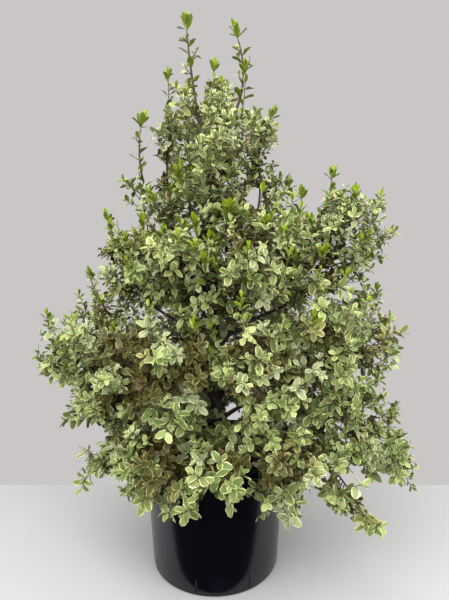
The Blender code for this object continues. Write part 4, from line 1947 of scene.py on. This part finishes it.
    def fill_inside(self, twig: Controls) -> None:
        """Set small sprays and leafy shoots along a stem or twig, where the solids have their core.

        Args:
            twig: The control points of the stem or twig.
        """
        count = int((twig[-1] - twig[0]).length / FINE.inner_step)
        for index in range(1, count):
            foot, along = along_curve(twig, index / count)
            side = beside(along, RULE.golden_angle * index + self.fine.uniform(*FINE.inner_turns))
            way = (along * FINE.inner_forward + side + UP * FINE.inner_rise).normalized()
            if index % 2:
                self.grow_spray(foot, way, self.fine.uniform(*FINE.inner_spray))
            elif self.space.holds(foot):
                self.add_shoot(foot, way, self.fine.uniform(*FINE.inner_shoot), self.pick_tint(foot))

    def dress_bough(self, bough: Controls, bare_share: float) -> None:
        """Set small sprays along the outer part of a bough or of the trunk, at golden turns.

        Args:
            bough: The control points of the bough or the trunk.
            bare_share: The share of it that stays bare.
        """
        count = int((bough[-1] - bough[0]).length * (1 - bare_share) / FINE.bough_step)
        for index in range(count):
            foot, along = along_curve(bough, bare_share + (1 - bare_share) * index / count)
            side = beside(along, RULE.golden_angle * index + self.fine.uniform(*FINE.bough_turns))
            way = (along * FINE.bough_forward + side).normalized()
            self.grow_spray(foot, way, self.fine.uniform(*FINE.inner_spray))

    def add_rosette(
        self, tip: Vector, along: Vector, tint: Tint, count: int = 0, length: float = 0.0
    ) -> None:
        """Set leaves round the tip of a shoot, the lower ones leaning out further.

        Args:
            tip: The tip of the shoot.
            along: The direction of the shoot at its tip.
            tint: The tint of its spray.
            count: How many leaves, or nought for the usual number.
            length: The length of the largest leaf, or nought for a usual one.
        """
        leaves = count or self.fine.randint(*FINE.rosette_leaves)
        at_ground, fall = FINE.leaf_shrink
        largest = length or self.fine.uniform(*FINE.leaf_length) * (at_ground - fall * tip.z)
        outer = self.pick_rosette_tint(tint, tip)
        pale = outer in LIT_TINTS and self.fine.random() < FINE.inner_pale_share
        tints = (outer, Tint.PALE if pale else outer)
        self.ring_of_leaves(tip, along, leaves, largest, FINE.rosette_leans, tints, MATURE_FORM)

    def ring_of_leaves(
        self,
        tip: Vector,
        along: Vector,
        count: int,
        largest: float,
        leans: Pair,
        tints: tuple[Tint, Tint] = YOUNG_TINTS,
        forms: range = YOUNG_FORM,
    ) -> None:
        """Set leaves round a tip at golden turns.

        Args:
            tip: The tip of the shoot.
            along: The direction of the shoot at its tip.
            count: How many leaves.
            largest: The length of the lowest leaf.
            leans: The lean of the lowest and of the topmost leaf in degrees.
            tints: The tint of the outer leaves and that of the inner ones.
            forms: The leaf forms to choose from.
        """
        start_turn = self.fine.uniform(0, 2 * math.pi)
        for index in range(count):
            share = index / max(count - 1, 1)
            lean = between(leans, share) + self.fine.uniform(*FINE.leaf_leans)
            heading = lean_out(along, beside(along, start_turn + RULE.golden_angle * index), lean)
            foot = tip - along * FINE.rosette_step * (count - 1 - index)
            length = largest * between((1, FINE.inner_leaf_share), share)
            length *= self.fine.uniform(*FINE.leaf_lengths)
            tint = tints[int(share > FINE.inner_leaves)]
            self.add_leaf(foot, heading, along, length, tint, self.fine.choice(forms))

    def add_leaf(
        self, foot: Vector, heading: Vector, facing: Vector, length: float, tint: Tint, form: int
    ) -> None:
        """Set one leaf, unless it would leave the space or touch a limb.

        Args:
            foot: Where the leaf starts.
            heading: The direction from its foot to its tip.
            facing: The direction that its upper side looks in.
            length: Its length.
            tint: Its tint.
            form: Its form's place among the forms.
        """
        heading = heading.normalized()
        if not (self.clear(foot + heading * length) and self.clear(foot + heading * length * 0.5)):
            return
        tilt = Vector([self.fine.gauss(0, FINE.leaf_tilt) for _ in range(3)])
        upper = facing + UP * FINE.leaf_rise + tilt
        upper = (upper - heading * upper.dot(heading)).normalized()
        turn = Matrix((heading.cross(upper), heading, upper)).transposed().to_quaternion()
        self.leaves.append(Leaf(foot, turn, length, form, tint))

    def set_young_shoots(self) -> None:
        """Set upright young shoots with narrow lime green leaves on the tips of some outer stalks."""
        self.slack = FINE.young_slack
        stalks = [limb for limb in self.limbs if limb.young and len(limb.points) == FINE.stalk_rings]
        for stalk in stalks:
            foot = stalk.points[-1]
            chance = FINE.young_share * (1 - abs(foot.z - FINE.young_middle) / FINE.young_reach)
            if self.space.depth(foot) <= FINE.young_depth or self.fine.random() >= chance:
                continue
            way = ((foot - stalk.points[-2]).normalized() * FINE.young_forward + UP).normalized()
            tip = foot + way * self.fine.uniform(*FINE.young_stalk)
            leaf = self.fine.uniform(*FINE.young_length)
            if self.clear(tip):
                self.add_limb([foot, foot.lerp(tip, 0.5), tip], FINE.shoot_radius, FINE.tip_radius, True)
                count = self.fine.randint(*FINE.young_leaves)
                self.ring_of_leaves(tip, way, count, leaf, FINE.young_leans)

    def add_sprig(self, sprig: Sprig) -> None:
        """Add a sprig or a shoot that stands out of the mass, with its leaves.

        Args:
            sprig: The sprig.
        """
        foot = sprig.tip - sprig.heading * sprig.length
        points = [point for limb in self.limbs for point in limb.points]
        nearest = min(points, key=lambda point: (point - foot).length)
        middle = nearest.lerp(foot, 0.5) - UP * (foot - nearest).length * FINE.sprig_sag
        self.add_limb([nearest, middle, foot], RULE.twig_radius, FINE.stalk_radius)
        if isinstance(sprig, Shoot):
            middle = foot.lerp(sprig.tip, 0.5) + place(sprig.turn, sprig.length * FINE.sprig_bow, 0)
            stem = (foot, middle, sprig.tip)
            self.add_limb(course(stem, FINE.sprig_rings), FINE.stalk_radius, FINE.shoot_radius)
            self.dress_leader(stem, FINE.sprig_tip_leaf)
        else:
            self.grow_spray(foot, sprig.heading, sprig.length / FINE.stalk_share, True)

    def dress_leader(self, stem: Controls, tip_leaf: float) -> None:
        """Set single leaves along a thin leader and a lime green rosette on its tip.

        Args:
            stem: The control points of the leader.
            tip_leaf: The length of the rosette's leaves.
        """
        count = int((stem[-1] - stem[0]).length * (1 - FINE.leader_start) / FINE.leader_step)
        for index in range(count):
            foot, along = along_curve(stem, FINE.leader_start + (1 - FINE.leader_start) * index / count)
            lean = FINE.leader_lean + self.fine.uniform(*FINE.leader_leans)
            heading = lean_out(along, beside(along, RULE.golden_angle * index), lean)
            tint = self.fine.choice(LEADER_TINTS)
            size = self.fine.uniform(*FINE.leader_length)
            self.add_leaf(foot, heading, along, size, tint, self.fine.choice(ANY_FORM))
        along = (stem[-1] - stem[-2]).normalized()
        tip = stem[-1] + along * FINE.leader_rise
        self.add_limb([stem[-1], tip], RULE.stem_tip_radius, FINE.tip_radius, True)
        low = tip - along * FINE.low_ring_drop
        low_leaf = tip_leaf * FINE.low_ring_share
        few, many = FINE.ring_leaves
        self.ring_of_leaves(low, along, few, low_leaf, FINE.low_ring_leans, (Tint.FRESH, Tint.FRESH))
        self.ring_of_leaves(tip, along, many, tip_leaf, FINE.top_ring_leans)


# The plant's pieces.


class Plant:
    """The whole plant above the pot: bark, twigs and leaves."""

    old_bark = BarkFinish("dark_bark_old", (0.022, 0.016, 0.013), (0.085, 0.068, 0.055), (0.19, 0.16, 0.13))
    twig_bark = SmallFinish("dark_bark_twig", (0.058, 0.03, 0.016), 0.65)
    young_bark = SmallFinish("dark_bark_young", (0.125, 0.068, 0.04), 0.6)
    leaf_sharp = 180

    def __init__(self, pot: Pot) -> None:
        """Set out the masses and their spaces.

        Args:
            pot: The pot, which leaves keep clear of.
        """
        self.boughs = Boughs(Trunk())
        self.carried = [mass for mass in MASSES if mass.entry and not mass.tops_trunk]
        barrier = Barrier(self.boughs, pot, self.carried)
        self.growths = [Growth(mass, self.boughs, barrier, index) for index, mass in enumerate(MASSES)]
        for growth in self.growths:
            for other in self.growths:
                if other is not growth:
                    growth.space.part_from(other.space)

    @staticmethod
    def tube_tree(bark: SmallFinish | BarkFinish, young_bark: SmallFinish | None = None) -> NodeTree:
        """Build the geometry tree that puts bark round chains of edges.

        Args:
            bark: The finish of the bark.
            young_bark: The finish of young bark, where there is some.

        Returns:
            The tree. It reads the attributes thickness and young.
        """
        inputs = {"Geometry": None, "Sides": 6, "Relief": 0.0, "Relief Scale": 300.0}
        build = TreeBuilder.group("bark_tubes", "Geometry", inputs)
        paths = build.result("GeometryNodeMeshToCurve", {"Mesh": build.inputs[0]})
        circle = {"Resolution": build.inputs["Sides"], "Radius": 1.0}
        ring = build.result("GeometryNodeCurvePrimitiveCircle", circle)
        thickness = build.attribute("thickness", "FLOAT")
        swept = {"Curve": paths, "Profile Curve": ring, "Scale": thickness, "Fill Caps": True}
        tubes = build.result("GeometryNodeCurveToMesh", swept)
        where = build.result("GeometryNodeInputPosition")
        along_limb = (1.0, 1.0, 0.3)
        drawn = build.result("ShaderNodeVectorMath", {0: where, 1: along_limb}, operation="MULTIPLY")
        pattern = {"Vector": drawn, "Scale": build.inputs["Relief Scale"], "Detail": 3.0}
        centred = build.math("SUBTRACT", build.result("ShaderNodeTexNoise", pattern), 0.5)
        height = build.math("MULTIPLY", centred, build.inputs["Relief"])
        outward = build.result("GeometryNodeInputNormal")
        offset = build.result("ShaderNodeVectorMath", {0: outward, "Scale": height}, operation="SCALE")
        shaped = build.result("GeometryNodeSetPosition", {"Geometry": tubes, "Offset": offset})
        smooth = build.result("GeometryNodeSetShadeSmooth", {"Geometry": shaped, "Shade Smooth": True})
        real = build.result("GeometryNodeRealizeInstances", {"Geometry": smooth})
        dressed = build.painted(real, bark.material())
        if young_bark:
            dressed = build.painted(dressed, young_bark.material(), build.attribute("young", "INT"))
        return build.close(dressed)

    @staticmethod
    def chains(limbs: Sequence[Limb]) -> Mesh:
        """Build a mesh of edges, one chain for each limb, with the attributes that the tube tree reads.

        Args:
            limbs: The limbs.

        Returns:
            The mesh.
        """
        points = [point for limb in limbs for point in limb.points]
        ends = list(np.cumsum([len(limb.points) for limb in limbs]) - 1)
        last = set(ends)
        edges = [(step, step + 1) for step in range(len(points)) if step not in last]
        mesh = mesh_of("chains", (points, []), edges)
        mark(mesh, "thickness", "FLOAT", [radius for limb in limbs for radius in limb.radii])
        mark(mesh, "young", "INT", [int(limb.young) for limb in limbs for _ in limb.points])
        return mesh

    @staticmethod
    def leaf_tree(forms: Collection) -> NodeTree:
        """Build the geometry tree that sets a leaf on each point and paints it by its tint and zone.

        Args:
            forms: The collection of leaf forms.

        Returns:
            The tree. It reads the attributes length, form, turn and tint, and the forms' zone.
        """
        inputs = {"Geometry": None, "Leaf Scale": 1.0}
        build = TreeBuilder.group("set_leaves", "Geometry", inputs)
        size = build.math("MULTIPLY", build.attribute("length", "FLOAT"), build.inputs["Leaf Scale"])
        picks = {
            "Instance Index": build.attribute("form", "INT"),
            "Rotation": build.attribute("turn", "QUATERNION"),
            "Scale": size,
        }
        leaves = build.strew(build.inputs[0], forms, picks)
        tint, zone = build.attribute("tint", "INT"), build.attribute("zone", "INT")
        code = build.math("MULTIPLY_ADD", tint, 2.0, zone)
        finishes = [finish for tint in Tint for finish in tint.finishes()]
        for index, finish in enumerate(finishes):
            chosen = build.math("COMPARE", code, float(index), 0.25)
            leaves = build.painted(leaves, finish.material(), chosen)
        return build.close(leaves)

    @staticmethod
    def leaf_points(leaves: Sequence[Leaf]) -> Mesh:
        """Build a mesh of points, one for each leaf, with the attributes that the leaf tree reads.

        Args:
            leaves: The leaves.

        Returns:
            The mesh.
        """
        mesh = mesh_of("leaf_points", ([leaf.foot for leaf in leaves], []))
        mark(mesh, "turn", "QUATERNION", np.array([leaf.turn for leaf in leaves]).ravel())
        mark(mesh, "length", "FLOAT", [leaf.length for leaf in leaves])
        mark(mesh, "form", "INT", [leaf.form for leaf in leaves])
        mark(mesh, "tint", "INT", [leaf.tint.index for leaf in leaves])
        return mesh

    def build_limbs(self) -> None:
        """Build the trunk and the boughs with the relief of their bark."""
        tree = self.tube_tree(self.old_bark)
        trunk = self.boughs.trunk
        limbs = [self.boughs.limb(mass) for mass in self.carried]
        boughs = ["bough_" + mass.name for mass in self.carried]
        pieces = (
            ("trunk_bark", trunk, [trunk.limb(trunk.rings)], ["trunk"]),
            ("bough_bark", self.boughs, limbs, boughs),
        )
        for name, source, chains, nodes in pieces:
            values = {"Sides": source.sides, "Relief": source.relief, "Relief Scale": source.relief_scale}
            hand_over(run_tree(name, self.chains(chains), tree, values), nodes)

    def build_foliage(self) -> None:
        """Grow every mass, and build one piece of twigs and one of leaves for each part of the crown."""
        meshes = (form.mesh(f"leaf_form_{index}") for index, form in enumerate(LEAF_FORMS))
        forms = gather_forms("leaf_forms", meshes)
        leaf_tree = self.leaf_tree(forms)
        twig_tree = self.tube_tree(self.twig_bark, self.young_bark)
        for name in dict.fromkeys(mass.part for mass in MASSES):
            growths = [growth for growth in self.growths if growth.mass.part == name]
            for growth in growths:
                growth.grow()
            leaves = [leaf for growth in growths for leaf in growth.leaves]
            limbs = [limb for growth in growths for limb in growth.limbs]
            twigs = run_tree(name + "_twigs", self.chains(limbs), twig_tree, {"Sides": FINE.twig_sides})
            hand_over(twigs)
            piece = run_tree(name + "_leaves", self.leaf_points(leaves), leaf_tree, {"Leaf Scale": 1.0})
            shade_round(piece, self.leaf_sharp)
            hand_over(piece, ["foliage_" + growth.mass.name for growth in growths])
            LOG.info("%s: %d leaves, %d twigs", name, len(leaves), len(limbs))
        drop_forms(forms)


# The studio.


def level_sheet(name: str, reach: float, near: float, far: float, height: float) -> Object:
    """Lay a level sheet, given its reach to each side, its near and far edges in depth and its height."""
    corners = ((-reach, near, height), (reach, near, height), (reach, far, height), (-reach, far, height))
    return add_object(name, mesh_of(name, ([Vector(corner) for corner in corners], [(0, 1, 2, 3)])))


@dataclass(frozen=True)
class Lamp:
    """A large square lamp that looks at the middle of the plant."""

    name: str
    spot: Spot
    power: float
    size: float = 2.4
    aim: Spot = (0, 0, 0.5)

    def build(self) -> None:
        """Build the lamp."""
        data = bpy.data.lights.new(self.name, "AREA")
        data.size = self.size
        data.energy = self.power
        lamp = add_object(self.name, data)
        lamp.location = self.spot
        lamp.rotation_euler = (Vector(self.aim) - Vector(self.spot)).to_track_quat("-Z", "Y").to_euler()


@dataclass(frozen=True)
class Studio:
    """A plain pale floor, a plain backdrop colour, soft lights, and the camera at the photograph's angle.

    The card is half its width, the places of its front and back edges in depth, and its height.
    """

    floor_colour: Colour = from_display(180, 181, 180)
    floor_darkening: float = 0.95
    floor_roughness: float = 0.7
    floor_grain: float = 6.0
    floor_back: float = 0.275
    floor_reach: float = 3.0
    card: tuple[float, float, float, float] = (1.25, -1.0, -0.128, 0.001)
    card_colour: Colour = (0.002, 0.002, 0.003)
    backdrop: Colour = from_display(202, 198, 198)
    soft_light: float = 0.8
    lamps: tuple[Lamp, ...] = (
        Lamp("key", (-0.9, -1.3, 2.1), 94),
        Lamp("fill", (1.5, -1.3, 1.8), 76),
        Lamp("back", (0.2, 1.8, 1.8), 16),
    )
    camera_place: Spot = (0.0178, -0.8582, 0.5832)
    camera_pitch: float = 4.892
    lens: float = 27.0
    sensor: float = 36.0

    def build_floor(self) -> None:
        """Build the floor, which isn't part of the object."""
        floor = level_sheet("floor", self.floor_reach, -self.floor_reach, self.floor_back, 0)
        paint = Paint("pale_floor")
        darker = tuple(part * self.floor_darkening for part in self.floor_colour)
        colour = paint.blend(paint.grain(self.floor_grain)[1], self.floor_colour, darker)
        pale = {"Base Color": colour, "Roughness": self.floor_roughness}
        floor.data.materials.append(paint.finish(pale))

    def build_card(self) -> None:
        """Lay a black card in front of the pot that only its gloss sees, as in a dark room."""
        card = level_sheet("dark_card", *self.card)
        black = {"Base Color": self.card_colour, "Roughness": 1.0}
        card.data.materials.append(Paint("card_black").finish(black))
        card.visible_camera = False
        card.visible_diffuse = False
        card.visible_transmission = False
        card.visible_shadow = False

    def build_light(self) -> None:
        """Set the backdrop's light, two large soft lamps in front and a weak one behind."""
        world = bpy.data.worlds.new("backdrop")
        world.use_nodes = True
        build = TreeBuilder(world.node_tree)
        on_matt = build.node("ShaderNodeLightPath").outputs["Is Diffuse Ray"]
        strength = build.math("MULTIPLY_ADD", on_matt, self.soft_light - 1, 1.0)
        build.feed(world.node_tree.nodes["Background"], {"Color": self.backdrop, "Strength": strength})
        bpy.context.scene.world = world
        bpy.context.scene.view_settings.view_transform = "Standard"
        for lamp in self.lamps:
            lamp.build()

    def build_camera(self) -> None:
        """Set the camera that fits the outline of the pot in the photograph."""
        data = bpy.data.cameras.new("camera")
        data.lens = self.lens
        data.sensor_width = self.sensor
        data.clip_start = 0.01
        camera = add_object("camera", data)
        camera.location = self.camera_place
        camera.rotation_euler = (math.radians(90 - self.camera_pitch), 0, 0)
        bpy.context.scene.camera = camera

    def build(self) -> None:
        """Build the floor, the lights and the camera."""
        self.build_floor()
        self.build_card()
        self.build_light()
        self.build_camera()


def main() -> None:
    """Build the pot, the plant and the studio."""
    logging.basicConfig(level=logging.INFO, format="%(message)s")
    pot = Pot()
    pot.build()
    PottingMix(pot).build()
    plant = Plant(pot)
    plant.build_limbs()
    plant.build_foliage()
    Studio().build()


if __name__ == "__main__":
    main()
